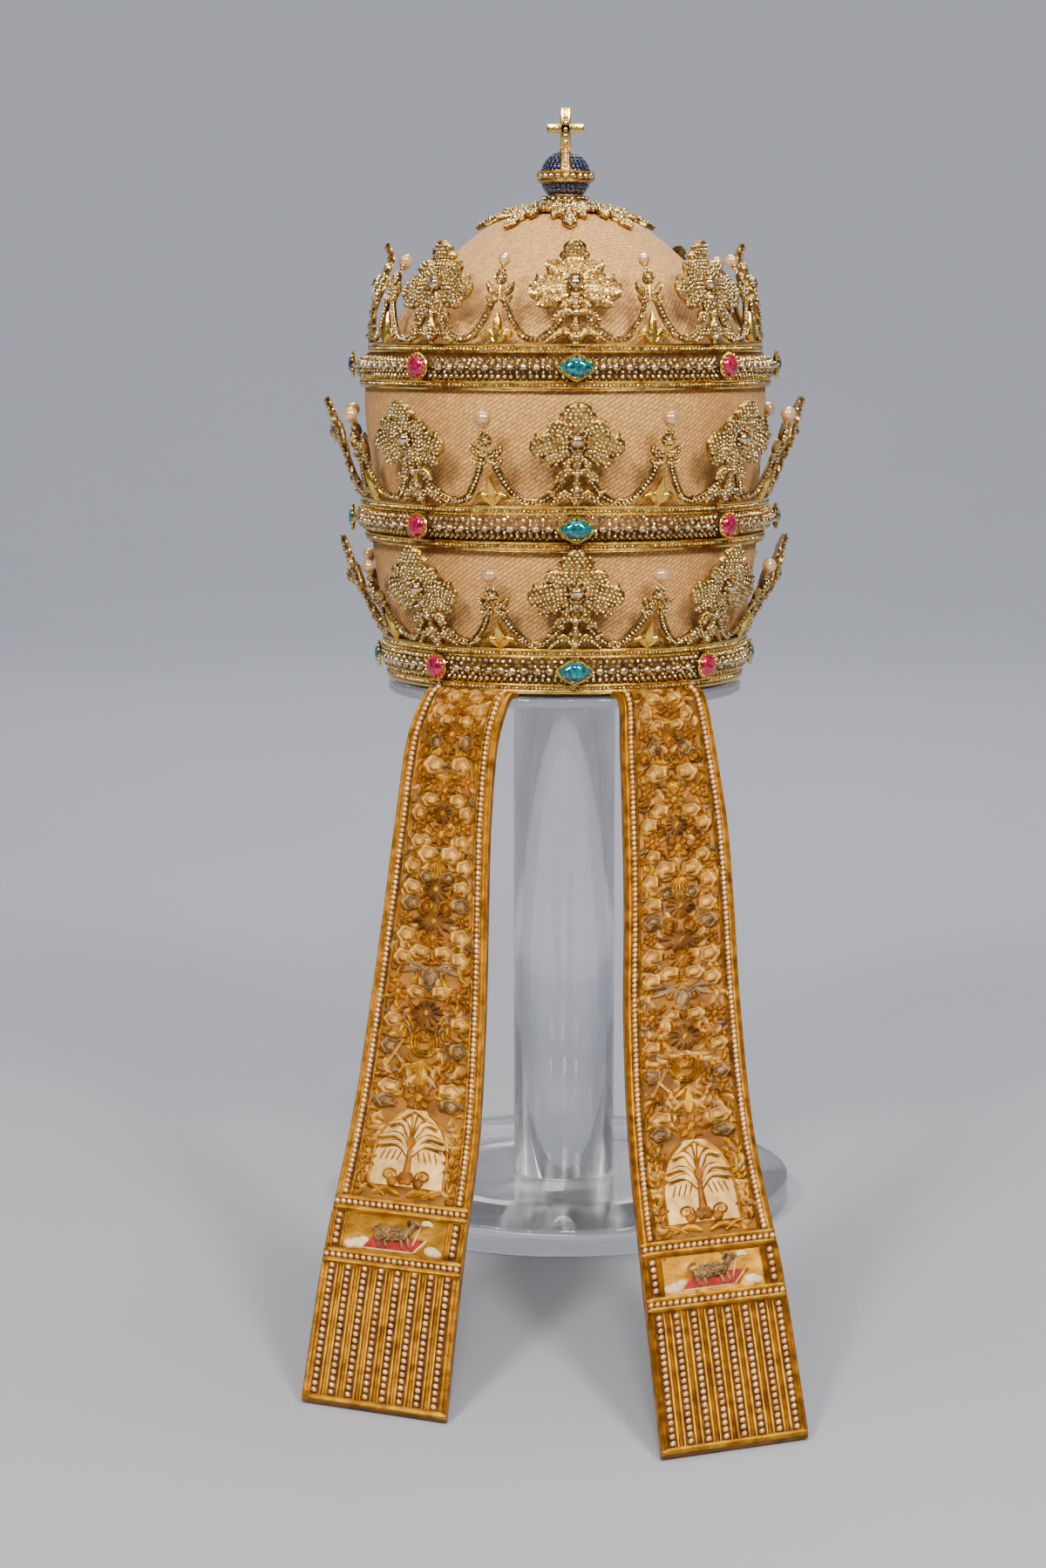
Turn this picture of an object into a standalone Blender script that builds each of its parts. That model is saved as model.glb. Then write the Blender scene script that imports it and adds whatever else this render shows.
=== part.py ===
"""A papal tiara on a plain clear stand: a cloth cap, three jewelled crowns, orb, cross and two lappets.

Metres, +Z up. The origin is the centre of the stand's underside, and the wearer would look along -Y.
Angles round the axis start at -Y and grow toward +X.
"""

import math

import bmesh
import bpy
import numpy as np
from mathutils import Vector

MM = 0.001
GAP = 0.3 * MM
SEGMENTS = 32
COARSE_SEGMENTS = 24
SMALL_SEGMENTS = 16
PER_CROWN = 8
CROWN_TURN = math.radians(3.0)

# Clear stand
BASE_RADIUS = 0.128
BASE_THICK = 0.015
COLUMN_RADIUS = 0.0285
COLUMN_WALL = 0.0045
DISC_RADIUS = 0.0986
DISC_THICK = 0.005
DISC_TOP = 0.297
STAND_BEVEL = 0.0012

# The plane of the tiara's lower rim
RIM_Z = 0.300

# Outside of the cloth cap, from the rim up to the crown of the dome: radius and height above the rim, in mm
CAP_PROFILE = (
    {"radius": 96.2, "height": 0.0},
    {"radius": 97.6, "height": 20.0},
    {"radius": 103.0, "height": 45.0},
    {"radius": 106.8, "height": 76.0},
    {"radius": 106.4, "height": 101.0},
    {"radius": 110.7, "height": 156.0},
    {"radius": 103.5, "height": 178.0},
    {"radius": 88.0, "height": 203.0},
    {"radius": 69.0, "height": 225.0},
    {"radius": 47.0, "height": 244.0},
    {"radius": 30.0, "height": 252.5},
    {"radius": 0.0, "height": 260.0},
)
CLOTH_THICK = 2.4 * MM
CLOTH_FIT = 0.4

LINING = {"inner": 90.2, "outer": 92.9, "below": 2.7, "above": 16.0}

# Crowns, in mm. `low`, `bulge` and `high` are the outer radii of the lower rim bar, the stone zone and the
# upper rim bar. `inner_low` and `inner_high` are the inside. `lean` is the line the crest follows above the
# band, as radius and height above the rim. `spread` widens or narrows its leaves, `diamond_place` is the
# share of the crest's length at which the diamond sits, and `pearl_height` is a pearl's height above the rim.
BAND_HEIGHT = 24.0
RIM_BAR = 5.0
CROWNS = (
    {
        "name": "lower",
        "bottom": 0.0,
        "low": 99.4,
        "bulge": 103.0,
        "high": 101.8,
        "inner_low": 96.7,
        "inner_high": 98.9,
        "lean": ((100.4, 24.0), (105.0, 33.5), (116.0, 56.0), (122.5, 77.0)),
        "spread": 0.88,
        "pearl_height": 64.0,
        "pearl": 7.6,
        "diamond": 7.6,
        "diamond_place": 0.62,
        "side_stone": "emerald",
    },
    {
        "name": "middle",
        "bottom": 76.0,
        "low": 111.0,
        "bulge": 117.0,
        "high": 113.4,
        "inner_low": 107.4,
        "inner_high": 107.4,
        "lean": ((111.8, 100.0), (116.6, 110.0), (126.0, 140.0), (131.0, 153.5)),
        "spread": 0.88,
        "pearl_height": 146.0,
        "pearl": 8.4,
        "diamond": 8.2,
        "diamond_place": 0.66,
        "side_stone": "emerald",
    },
    {
        "name": "upper",
        "bottom": 160.0,
        "low": 113.6,
        "bulge": 116.5,
        "high": 109.0,
        "inner_low": 109.9,
        "inner_high": 105.4,
        "lean": ((107.4, 184.0), (104.5, 205.0), (94.5, 230.0), (97.0, 237.0)),
        "spread": 1.04,
        "pearl_height": 228.0,
        "pearl": 7.2,
        "diamond": 8.6,
        "diamond_place": 0.57,
        "side_stone": "sapphire",
    },
)
CREST_THICK = 2.0
CREST_SUNK = 3.0
FOOT_GAP = 1.5
DIAMOND_RINGS = ({"scale": 1.0, "out": 0.2}, {"scale": 0.55, "out": 3.4})
PEARL_SIDES = 9
PEARL_RINGS = 4
PEARL_OVERLAP = 0.25

# Right half of a leaf fleuron for a height of 58: distance from its centre line and height, in mm
FLEURON_SIZE = 58.0
FLEURON_HALF = (
    {"side": 18.0, "height": 0.6},
    {"side": 5.0, "height": 6.0},
    {"side": 12.5, "height": 12.5},
    {"side": 5.0, "height": 19.0},
    {"side": 15.5, "height": 19.5},
    {"side": 24.0, "height": 26.0},
    {"side": 20.0, "height": 37.0},
    {"side": 12.5, "height": 40.0},
    {"side": 13.0, "height": 47.5},
    {"side": 2.6, "height": 58.0},
)

# Right half of a spike for a height of 40 up to its pearl: a stem over two branches that sweep to the rim
SPIKE_SIZE = 40.0
SPIKE_OUTER = (
    {"side": 23.0, "height": 0.6},
    {"side": 13.0, "height": 5.5},
    {"side": 4.4, "height": 17.0},
    {"side": 1.6, "height": 40.0},
)
SPIKE_INNER = (
    {"side": 0.0, "height": 16.0},
    {"side": 10.5, "height": 1.5},
)

# Coloured stones, in mm: half sizes across and up, and how far they stand out
LOZENGE = {"across": 9.0, "up": 6.0}
ROUND = {"across": 6.3, "up": 6.3}
STONE_SIDES = 8
STONE_RINGS = ({"scale": 1.0, "out": 0.0}, {"scale": 0.55, "out": 3.0})
BEZEL_OUT = 0.4
BEZEL_RIM = 1.0
BEZEL_RINGS = ({"scale": 1.0, "out": -3.0}, {"scale": 1.0, "out": 0.0})

# Apex ornament, in mm: a collar under the orb, with leaf sprays bent down over the dome
COLLAR = (
    {"radius": 20.0, "above_dome": 2.8},
    {"radius": 13.2, "above_dome": 4.2},
    {"radius": 10.7, "above_dome": 6.4},
    {"radius": 7.9, "above_dome": 4.3},
    {"radius": 6.6, "above_dome": 3.2},
)
SPRAY_THICK = 3.2
SPRAY_CLEAR = 0.8
SPRAY_HALF = (
    {"side": 4.0, "along": 16.0},
    {"side": 9.5, "along": 28.0},
    {"side": 6.0, "along": 33.0},
    {"side": 8.5, "along": 39.0},
    {"side": 2.2, "along": 50.0},
)

# Orb, girdle and cross, in mm
ORB_RADIUS = 13.7
ORB_HEIGHT = 274.0
GIRDLE_HEIGHT = 6.1
GIRDLE_FIT = 0.45
GIRDLE_THICK = 1.6
STRIP_WIDTH = 5.9
STRIP_THICK = 1.3
STRIP_BENDS = 11
CROSS_SUNK = 0.7
CROSS = {"width": 20.4, "bar": 5.9, "arm": 5.0, "arm_height": 300.0, "top": 311.0, "thick": 3.6}

# Lappets: the middle of the underside, from the rim to the end on the table. The right one has the same
# columns with `side` positive. `half` is half the width, `yaw` turns the width toward the front, in degrees.
LAPPET_THICK = 2.4 * MM
BORDER_WIDTH = 9.5 * MM
BORDER_RAISE = 1.4 * MM
STEP = 0.7 * MM
LAPPET_ROWS = 11
BEND_STATIONS = 4
EDGE_CLEAR = 6 * MM
END_PANEL = 81.0 * MM
LOWER_BAR = 9.0 * MM
PICTURE_PANEL = 24.0 * MM
UPPER_BAR = 9.0 * MM
RAISE_STARTS = 0.012
LAPPET_LEFT = (
    {"height": 0.2973, "forward": 0.0811, "side": -0.0468, "half": 0.0260, "yaw": 30},
    {"height": 0.2973, "forward": 0.0868, "side": -0.0501, "half": 0.0262, "yaw": 30},
    {"height": 0.2925, "forward": 0.0925, "side": -0.0532, "half": 0.0264, "yaw": 29},
    {"height": 0.2740, "forward": 0.1060, "side": -0.0590, "half": 0.0270, "yaw": 27},
    {"height": 0.2350, "forward": 0.1330, "side": -0.0630, "half": 0.0275, "yaw": 24},
    {"height": 0.2000, "forward": 0.1565, "side": -0.0653, "half": 0.0292, "yaw": 23},
    {"height": 0.1500, "forward": 0.1965, "side": -0.0685, "half": 0.0323, "yaw": 23},
    {"height": 0.1000, "forward": 0.2465, "side": -0.0730, "half": 0.0350, "yaw": 23},
    {"height": 0.0500, "forward": 0.3065, "side": -0.0813, "half": 0.0369, "yaw": 23},
    {"height": 0.0003, "forward": 0.3760, "side": -0.0868, "half": 0.0370, "yaw": 23},
)
LAPPET_RIGHT = (
    {"height": 0.2973, "forward": 0.0811, "side": 0.0468, "half": 0.0260, "yaw": 30},
    {"height": 0.2973, "forward": 0.0868, "side": 0.0501, "half": 0.0262, "yaw": 30},
    {"height": 0.2925, "forward": 0.0930, "side": 0.0520, "half": 0.0266, "yaw": 29},
    {"height": 0.2740, "forward": 0.1095, "side": 0.0538, "half": 0.0280, "yaw": 27},
    {"height": 0.2350, "forward": 0.1390, "side": 0.0572, "half": 0.0300, "yaw": 24},
    {"height": 0.2000, "forward": 0.1665, "side": 0.0585, "half": 0.0307, "yaw": 23},
    {"height": 0.1500, "forward": 0.2135, "side": 0.0590, "half": 0.0322, "yaw": 23},
    {"height": 0.1000, "forward": 0.2718, "side": 0.0620, "half": 0.0334, "yaw": 23},
    {"height": 0.0500, "forward": 0.3420, "side": 0.0699, "half": 0.0362, "yaw": 23},
    {"height": 0.0003, "forward": 0.4230, "side": 0.0762, "half": 0.0362, "yaw": 23},
)

# Colour, roughness, metallic and transmission of each finish
FINISHES = {
    "cloth": ((0.58, 0.40, 0.24), 0.85, 0.0, 0.0),
    "lining": ((0.05, 0.03, 0.02), 0.80, 0.0, 0.0),
    "gold": ((0.83, 0.62, 0.30), 0.25, 1.0, 0.0),
    "emerald": ((0.01, 0.22, 0.22), 0.08, 0.0, 0.3),
    "ruby": ((0.60, 0.02, 0.12), 0.08, 0.0, 0.3),
    "sapphire": ((0.02, 0.04, 0.22), 0.08, 0.0, 0.3),
    "embroidery": ((0.58, 0.34, 0.09), 0.55, 0.3, 0.0),
    "acrylic": ((0.92, 0.94, 0.96), 0.04, 0.0, 0.9),
}


def clear_scene():
    for obj in list(bpy.data.objects):
        bpy.data.objects.remove(obj, do_unlink=True)


def new_collection(name):
    collection = bpy.data.collections.new(name)
    bpy.context.scene.collection.children.link(collection)
    return collection


def new_material(name):
    colour, roughness, metallic, transmission = FINISHES[name]
    material = bpy.data.materials.new(name)
    material.use_nodes = True
    shader = material.node_tree.nodes["Principled BSDF"]
    shader.inputs["Base Color"].default_value = (*colour, 1.0)
    shader.inputs["Roughness"].default_value = roughness
    shader.inputs["Metallic"].default_value = metallic
    shader.inputs["Transmission Weight"].default_value = transmission
    return material


def new_object(name, mesh, collection, material=None):
    obj = bpy.data.objects.new(name, mesh)
    collection.objects.link(obj)
    if material:
        mesh.materials.append(material)
        mesh.shade_smooth()
        mesh.set_sharp_from_angle(angle=math.radians(35))
    return obj


def mesh_from(bm, name):
    bmesh.ops.recalc_face_normals(bm, faces=bm.faces)
    mesh = bpy.data.meshes.new(name)
    bm.to_mesh(mesh)
    bm.free()
    return mesh


def helper(name, bm, collection):
    """An object that only a Boolean reads."""
    obj = new_object(name, mesh_from(bm, name), collection)
    obj.hide_render = True
    obj.display_type = "WIRE"
    return obj


def turned(name, profile, closed, collection, material, segments=SEGMENTS):
    """A shape turned round +Z from (radius, height) points that run down its outer side."""
    bm = bmesh.new()
    points = [bm.verts.new((radius, 0.0, height)) for radius, height in profile]
    for start, end in zip(points, points[1:] + (points[:1] if closed else [])):
        bm.edges.new((start, end))
    mesh = bpy.data.meshes.new(name)
    bm.to_mesh(mesh)
    bm.free()
    obj = new_object(name, mesh, collection, material)
    screw = obj.modifiers.new("Turn", "SCREW")
    screw.axis = "Z"
    screw.steps = segments
    screw.render_steps = segments
    screw.use_merge_vertices = True
    screw.merge_threshold = 1e-5
    return obj


def lofted(rings):
    """A closed solid through rings of points, each ring with the same number of points."""
    bm = bmesh.new()
    loops = [[bm.verts.new(point) for point in ring] for ring in rings]
    for lower, upper in zip(loops, loops[1:]):
        for i, start in enumerate(lower):
            after = (i + 1) % len(lower)
            bm.faces.new((start, lower[after], upper[after], upper[i]))
    bm.faces.new(list(reversed(loops[0])))
    bm.faces.new(loops[-1])
    return bm


def plate(outline, thick):
    """A flat plate, in x and y with its thickness along z, as a welded mesh from a filled 2D curve."""
    curve = bpy.data.curves.new("outline", "CURVE")
    curve.dimensions = "2D"
    curve.fill_mode = "BOTH"
    curve.extrude = thick / 2
    spline = curve.splines.new("POLY")
    spline.points.add(len(outline) - 1)
    for point, (x, y) in zip(spline.points, outline):
        point.co = (x, y, 0.0, 1.0)
    spline.use_cyclic_u = True
    guide = bpy.data.objects.new("outline", curve)
    bpy.context.scene.collection.objects.link(guide)
    graph = bpy.context.evaluated_depsgraph_get()
    mesh = bpy.data.meshes.new_from_object(guide.evaluated_get(graph))
    bpy.data.objects.remove(guide, do_unlink=True)
    bpy.data.curves.remove(curve)
    bm = bmesh.new()
    bm.from_mesh(mesh)
    bpy.data.meshes.remove(mesh)
    bmesh.ops.remove_doubles(bm, verts=bm.verts, dist=1e-5)
    bmesh.ops.dissolve_limit(bm, angle_limit=math.radians(1), verts=bm.verts[:], edges=bm.edges[:])
    return bm


def cut_across(bm, axis, places):
    """Adds edges where the plate will bend."""
    direction = Vector((0.0, 0.0, 0.0))
    direction[axis] = 1.0
    for place in places:
        bmesh.ops.bisect_plane(
            bm,
            geom=bm.verts[:] + bm.edges[:] + bm.faces[:],
            dist=1e-5,
            plane_co=direction * place,
            plane_no=direction,
        )


def outward(angle):
    return Vector((math.sin(angle), -math.cos(angle), 0.0))


def sideways(angle):
    return Vector((math.cos(angle), math.sin(angle), 0.0))


def at_height(height_mm):
    """A height above the tiara's rim as a height above the table."""
    return RIM_Z + height_mm * MM


class LeanLine:
    """The line that a plate bends along: radius and height above the rim at each length, in mm."""

    NUDGE = 1.5

    def __init__(self, knots, sunk):
        first = knots[0]
        knots = ((first[0], first[1] - sunk),) + tuple(knots)
        self.radii = np.array([knot[0] for knot in knots])
        self.heights = np.array([knot[1] for knot in knots])
        steps = np.hypot(np.diff(self.radii), np.diff(self.heights))
        self.lengths = np.concatenate([[0.0], np.cumsum(steps)]) - sunk

    def size(self):
        return float(self.lengths[-1])

    def bends(self):
        return [float(length) for length in self.lengths[1:-1]]

    def point(self, along):
        return (
            float(np.interp(along, self.lengths, self.radii)),
            float(np.interp(along, self.lengths, self.heights)),
        )

    def along_at(self, height):
        return float(np.interp(height, self.heights, self.lengths))

    def normal(self, along):
        """Radial and vertical parts of the direction that the plate's face looks in."""
        (r0, z0), (r1, z1) = self.point(along - self.NUDGE), self.point(along + self.NUDGE)
        length = math.hypot(r1 - r0, z1 - z0)
        return (z1 - z0) / length, -(r1 - r0) / length

    def place(self, side, along, out, angle, reference):
        """Side, along and out in mm, with the side measured round the axis at the reference radius."""
        radius, height = self.point(along)
        radial, vertical = self.normal(along)
        turned_by = angle + side / reference
        position = outward(turned_by) * (radius + radial * out) * MM
        position.z = at_height(height + vertical * out)
        return position


def mirrored(half):
    """A whole outline from its right half, given from the foot up."""
    return [(x, y) for x, y in half] + [(-x, y) for x, y in reversed(half)]


def fleuron_outline(size, spread):
    """The leaf is spread to its crown's width above a foot that keeps its own."""
    scale = size / FLEURON_SIZE
    widths = [FLEURON_HALF[0]["side"]] + [row["side"] * spread for row in FLEURON_HALF[1:]]
    leaf = [(side * scale, row["height"] * scale) for side, row in zip(widths, FLEURON_HALF)]
    return mirrored([(leaf[0][0], -CREST_SUNK)] + leaf)


def spike_outline(size, half_pitch):
    """The branches reach out to where the next fleuron's foot begins."""
    scale = size / SPIKE_SIZE
    reach = half_pitch / (SPIKE_OUTER[0]["side"] + FLEURON_HALF[0]["side"] + FOOT_GAP)
    outer = [(row["side"] * reach, row["height"] * scale) for row in SPIKE_OUTER]
    inner = [(row["side"] * reach, row["height"] * scale) for row in SPIKE_INNER]
    foot_outer = (outer[0][0], -CREST_SUNK)
    foot_inner = (inner[-1][0], -CREST_SUNK)
    arch = [(-x, y) for x, y in reversed(inner[1:])] + inner
    return mirrored([foot_outer] + outer) + [(-foot_inner[0], foot_inner[1])] + arch + [foot_inner]


def crest_plate(outline, line, angle, reference, folds=()):
    """A plate of the crest, curved with the crown at its folds and along the lean line."""
    bm = plate(outline, CREST_THICK)
    cut_across(bm, 0, folds)
    cut_across(bm, 1, line.bends())
    for vertex in bm.verts:
        side, along, out = vertex.co
        vertex.co = line.place(side, along, out, angle, reference)
    return bm


def faceted(half_across, half_up, sides, rings, centre, across, up, out):
    """A cut stone, or its plate, as rings that shrink toward the table. Sizes in mm."""
    loops = []
    for ring in rings:
        loop = []
        for i in range(sides):
            turn = 2 * math.pi * i / sides
            x = half_across * ring["scale"] * math.cos(turn)
            y = half_up * ring["scale"] * math.sin(turn)
            loop.append(centre + across * x * MM + up * y * MM + out * ring["out"] * MM)
        loops.append(loop)
    return lofted(loops)


def diamond_on(line, along, angle, reference, diameter):
    centre = line.place(0.0, along, 0.0, angle, reference)
    out = (line.place(0.0, along, 1.0, angle, reference) - centre).normalized()
    across = sideways(angle)
    half = diameter / 2
    return faceted(half, half, STONE_SIDES, DIAMOND_RINGS, centre, across, out.cross(across), out)


def pearl_on(line, along, angle, reference, diameter):
    bm = bmesh.new()
    bmesh.ops.create_uvsphere(
        bm, u_segments=PEARL_SIDES, v_segments=PEARL_RINGS, radius=diameter / 2 * MM
    )
    bmesh.ops.translate(bm, verts=bm.verts, vec=line.place(0.0, along, 0.0, angle, reference))
    return bm


def stone_angles():
    return [CROWN_TURN + 2 * math.pi * i / PER_CROWN for i in range(PER_CROWN)]


def stone_kind(crown, index):
    """Lozenges and rounds in turn, from the front, with the crown's own side stones at the quarter turns."""
    if index % 2:
        return "ruby", ROUND
    if index % 4 == 2:
        return crown["side_stone"], LOZENGE
    return "emerald", LOZENGE


def band_profile(crown):
    """The band's section: outer side down, then the inside up."""
    top = crown["bottom"] + BAND_HEIGHT
    middle = crown["bottom"] + BAND_HEIGHT / 2
    section = (
        (crown["high"], top),
        (crown["high"], top - RIM_BAR),
        (crown["bulge"], middle),
        (crown["low"], crown["bottom"] + RIM_BAR),
        (crown["low"], crown["bottom"]),
        (crown["inner_low"], crown["bottom"]),
        (crown["inner_high"], top),
    )
    return [(radius * MM, at_height(height)) for radius, height in section]


def stone_seat(crown, angle):
    """Where a stone's back stands on the band: its centre and its three directions."""
    radius = crown["bulge"] + BEZEL_OUT
    centre = outward(angle) * radius * MM
    centre.z = at_height(crown["bottom"] + BAND_HEIGHT / 2)
    return centre, sideways(angle), Vector((0.0, 0.0, 1.0)), outward(angle)


def bezel(crown, angle, kind):
    centre, across, up, out = stone_seat(crown, angle)
    half_across, half_up = kind["across"] + BEZEL_RIM, kind["up"] + BEZEL_RIM
    return faceted(half_across, half_up, STONE_SIDES, BEZEL_RINGS, centre, across, up, out)


def make_crown(crown, parts, helpers, gold):
    """A band with its settings, fleurons, spikes and pearls, soldered into one solid."""
    name = "crown_" + crown["name"]
    band = turned(name, band_profile(crown), True, parts, gold)
    trim = bpy.data.collections.new(name + "_trim")
    helpers.children.link(trim)
    line = LeanLine(crown["lean"], CREST_SUNK + 1.0)
    reference = crown["lean"][0][0]
    half_pitch = math.pi / PER_CROWN * reference
    fleuron = fleuron_outline(line.size(), crown["spread"])
    to_pearl = line.along_at(crown["pearl_height"])
    spike = spike_outline(to_pearl - crown["pearl"] * PEARL_OVERLAP, half_pitch)
    for i, angle in enumerate(stone_angles()):
        between = angle + math.pi / PER_CROWN
        kind = stone_kind(crown, i)[1]
        helper(f"{name}_fleuron_{i}", crest_plate(fleuron, line, angle, reference, (0.0,)), trim)
        helper(f"{name}_spike_{i}", crest_plate(spike, line, between, reference), trim)
        helper(f"{name}_pearl_{i}", pearl_on(line, to_pearl, between, reference, crown["pearl"]), trim)
        diamond = diamond_on(line, line.size() * crown["diamond_place"], angle, reference, crown["diamond"])
        helper(f"{name}_diamond_{i}", diamond, trim)
        helper(f"{name}_bezel_{i}", bezel(crown, angle, kind), trim)
    solder = band.modifiers.new("Solder", "BOOLEAN")
    solder.operation = "UNION"
    solder.operand_type = "COLLECTION"
    solder.collection = trim
    solder.solver = "EXACT"


def make_stones(crown, parts, materials):
    counts = {}
    for i, angle in enumerate(stone_angles()):
        stone, kind = stone_kind(crown, i)
        counts[stone] = counts.get(stone, 0) + 1
        centre, across, up, out = stone_seat(crown, angle)
        centre = centre + out * GAP
        bm = faceted(kind["across"], kind["up"], STONE_SIDES, STONE_RINGS, centre, across, up, out)
        name = f"{crown['name']}_{stone}_{counts[stone]}"
        new_object(name, mesh_from(bm, name), parts, materials[stone])


def make_cap(parts, cloth):
    profile = [(row["radius"] * MM, at_height(row["height"])) for row in reversed(CAP_PROFILE)]
    cap = turned("cap", profile, False, parts, cloth)
    wall = cap.modifiers.new("Wall", "SOLIDIFY")
    wall.thickness = CLOTH_THICK
    wall.offset = -1.0


def make_lining(parts, lining):
    outer, inner = LINING["outer"] * MM, LINING["inner"] * MM
    bottom, top = at_height(-LINING["below"]), at_height(LINING["above"])
    profile = [(outer, top), (outer, bottom), (inner, bottom), (inner, top)]
    turned("headband_lining", profile, True, parts, lining, COARSE_SEGMENTS)


def dome_height(radius):
    """The height of the cloth above the rim near the crown of the dome, in mm."""
    rows = CAP_PROFILE[::-1]
    return float(np.interp(radius, [row["radius"] for row in rows[:5]], [row["height"] for row in rows[:5]]))


def dome_line():
    """The dome from its crown outward, as a lean line whose length starts at the axis."""
    rows = [row for row in reversed(CAP_PROFILE) if row["radius"] <= 70.0]
    return LeanLine([(row["radius"], row["height"]) for row in rows], 0.0)


def spray(line, angle):
    """One leaf spray, bent down over the dome a little clear of the cloth."""
    half = [(row["side"], row["along"]) for row in SPRAY_HALF]
    bm = plate(mirrored(half), SPRAY_THICK)
    cut_across(bm, 1, [bend for bend in line.bends() if half[0][1] < bend < half[-1][1]])
    for vertex in bm.verts:
        side, along, out = vertex.co
        radius, height = line.point(along)
        radial, vertical = line.normal(along)
        lift = SPRAY_THICK / 2 + SPRAY_CLEAR - out
        position = outward(angle) * (radius - radial * lift) * MM + sideways(angle) * side * MM
        position.z = at_height(height - vertical * lift)
        vertex.co = position
    return bm


def make_apex(parts, helpers, gold):
    line = dome_line()
    profile = [(row["radius"], dome_height(row["radius"]) + row["above_dome"]) for row in COLLAR]
    for radius in (COLLAR[-1]["radius"], COLLAR[0]["radius"]):
        profile.append((radius, dome_height(radius) + CLOTH_FIT))
    profile = [(radius * MM, at_height(height)) for radius, height in profile]
    collar = turned("apex_ornament", profile, True, parts, gold, SMALL_SEGMENTS)
    trim = bpy.data.collections.new("apex_trim")
    helpers.children.link(trim)
    for i, angle in enumerate(stone_angles()):
        helper(f"apex_spray_{i}", spray(line, angle), trim)
    solder = collar.modifiers.new("Solder", "BOOLEAN")
    solder.operation = "UNION"
    solder.operand_type = "COLLECTION"
    solder.collection = trim
    solder.solver = "EXACT"


def make_orb(parts, sapphire):
    bm = bmesh.new()
    rings = SMALL_SEGMENTS // 2
    bmesh.ops.create_uvsphere(bm, u_segments=SMALL_SEGMENTS, v_segments=rings, radius=ORB_RADIUS * MM)
    orb = new_object("orb", mesh_from(bm, "orb"), parts, sapphire)
    orb.location.z = at_height(ORB_HEIGHT)


def over_orb_strip(inner, thick):
    """A strip from the girdle at the front, over the globe to the girdle at the back."""
    reach = math.pi / 2 * inner
    half = [(STRIP_WIDTH / 2, -reach), (STRIP_WIDTH / 2, reach)]
    bm = plate(mirrored(half), thick)
    cut_across(bm, 1, np.linspace(-reach, reach, STRIP_BENDS + 2)[1:-1])
    for vertex in bm.verts:
        side, along, out = vertex.co
        turn = along / inner
        radius = (inner + thick / 2 + out) * MM
        centre = at_height(ORB_HEIGHT)
        vertex.co = Vector((side * MM, radius * math.sin(turn), centre + radius * math.cos(turn)))
    return bm


def cross_outline(foot):
    """A Latin cross in x and height above the rim."""
    bar, arm, reach = CROSS["bar"] / 2, CROSS["arm"] / 2, CROSS["width"] / 2
    low, high = CROSS["arm_height"] - arm, CROSS["arm_height"] + arm
    return mirrored([(bar, foot), (bar, low), (reach, low), (reach, high), (bar, high), (bar, CROSS["top"])])


def make_girdle_and_cross(parts, helpers, gold):
    inner = ORB_RADIUS + GIRDLE_FIT
    outer = inner + GIRDLE_THICK
    low, high = ORB_HEIGHT - GIRDLE_HEIGHT / 2, ORB_HEIGHT + GIRDLE_HEIGHT / 2
    profile = [(outer * MM, at_height(high)), (outer * MM, at_height(low))]
    profile += [(inner * MM, at_height(low)), (inner * MM, at_height(high))]
    girdle = turned("orb_girdle_cross", profile, True, parts, gold, SMALL_SEGMENTS)
    trim = bpy.data.collections.new("orb_trim")
    helpers.children.link(trim)
    helper("orb_strip", over_orb_strip(inner, STRIP_THICK), trim)
    cross = plate(cross_outline(ORB_HEIGHT + inner + STRIP_THICK - CROSS_SUNK), CROSS["thick"])
    for vertex in cross.verts:
        x, height, depth = vertex.co
        vertex.co = Vector((x * MM, depth * MM, at_height(height)))
    helper("orb_cross", cross, trim)
    solder = girdle.modifiers.new("Solder", "BOOLEAN")
    solder.operation = "UNION"
    solder.operand_type = "COLLECTION"
    solder.collection = trim
    solder.solver = "EXACT"


class Route:
    """A lappet's smooth course through its stations."""

    def __init__(self, rows, front_sign):
        self.points = np.array([(row["side"], -row["forward"], row["height"]) for row in rows])
        self.halves = np.array([row["half"] for row in rows])
        self.yaws = np.radians([row["yaw"] for row in rows]) * front_sign
        steps = np.linalg.norm(np.diff(self.points, axis=0), axis=1)
        self.lengths = np.concatenate([[0.0], np.cumsum(steps)])

    def size(self):
        return float(self.lengths[-1])

    def centre(self, along):
        """A cubic through the stations, with each station's slope taken from its neighbours."""
        i = int(np.clip(np.searchsorted(self.lengths, along, "right") - 1, 0, len(self.lengths) - 2))
        span = self.lengths[i + 1] - self.lengths[i]
        t = (along - self.lengths[i]) / span
        start, end = self.points[i], self.points[i + 1]
        leave, arrive = self.slope(i) * span, self.slope(i + 1) * span
        rise = t * t * (3 - 2 * t)
        place = start + (end - start) * rise
        place = place + leave * t * (1 - t) ** 2 - arrive * t * t * (1 - t)
        return Vector(place)

    def slope(self, i):
        low, high = max(i - 1, 0), min(i + 1, len(self.points) - 1)
        return (self.points[high] - self.points[low]) / (self.lengths[high] - self.lengths[low])

    def frame(self, along):
        """The direction that the face looks in, and half the width as a vector along the row."""
        nudge = 0.5 * MM
        along = min(max(along, nudge), self.size() - nudge)
        heading = (self.centre(along + nudge) - self.centre(along - nudge)).normalized()
        yaw = float(np.interp(along, self.lengths, self.yaws))
        across = Vector((math.cos(yaw), -math.sin(yaw), 0.0))
        out = heading.cross(across).normalized()
        return out if out.z > 0 else -out, across * float(np.interp(along, self.lengths, self.halves))


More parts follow.
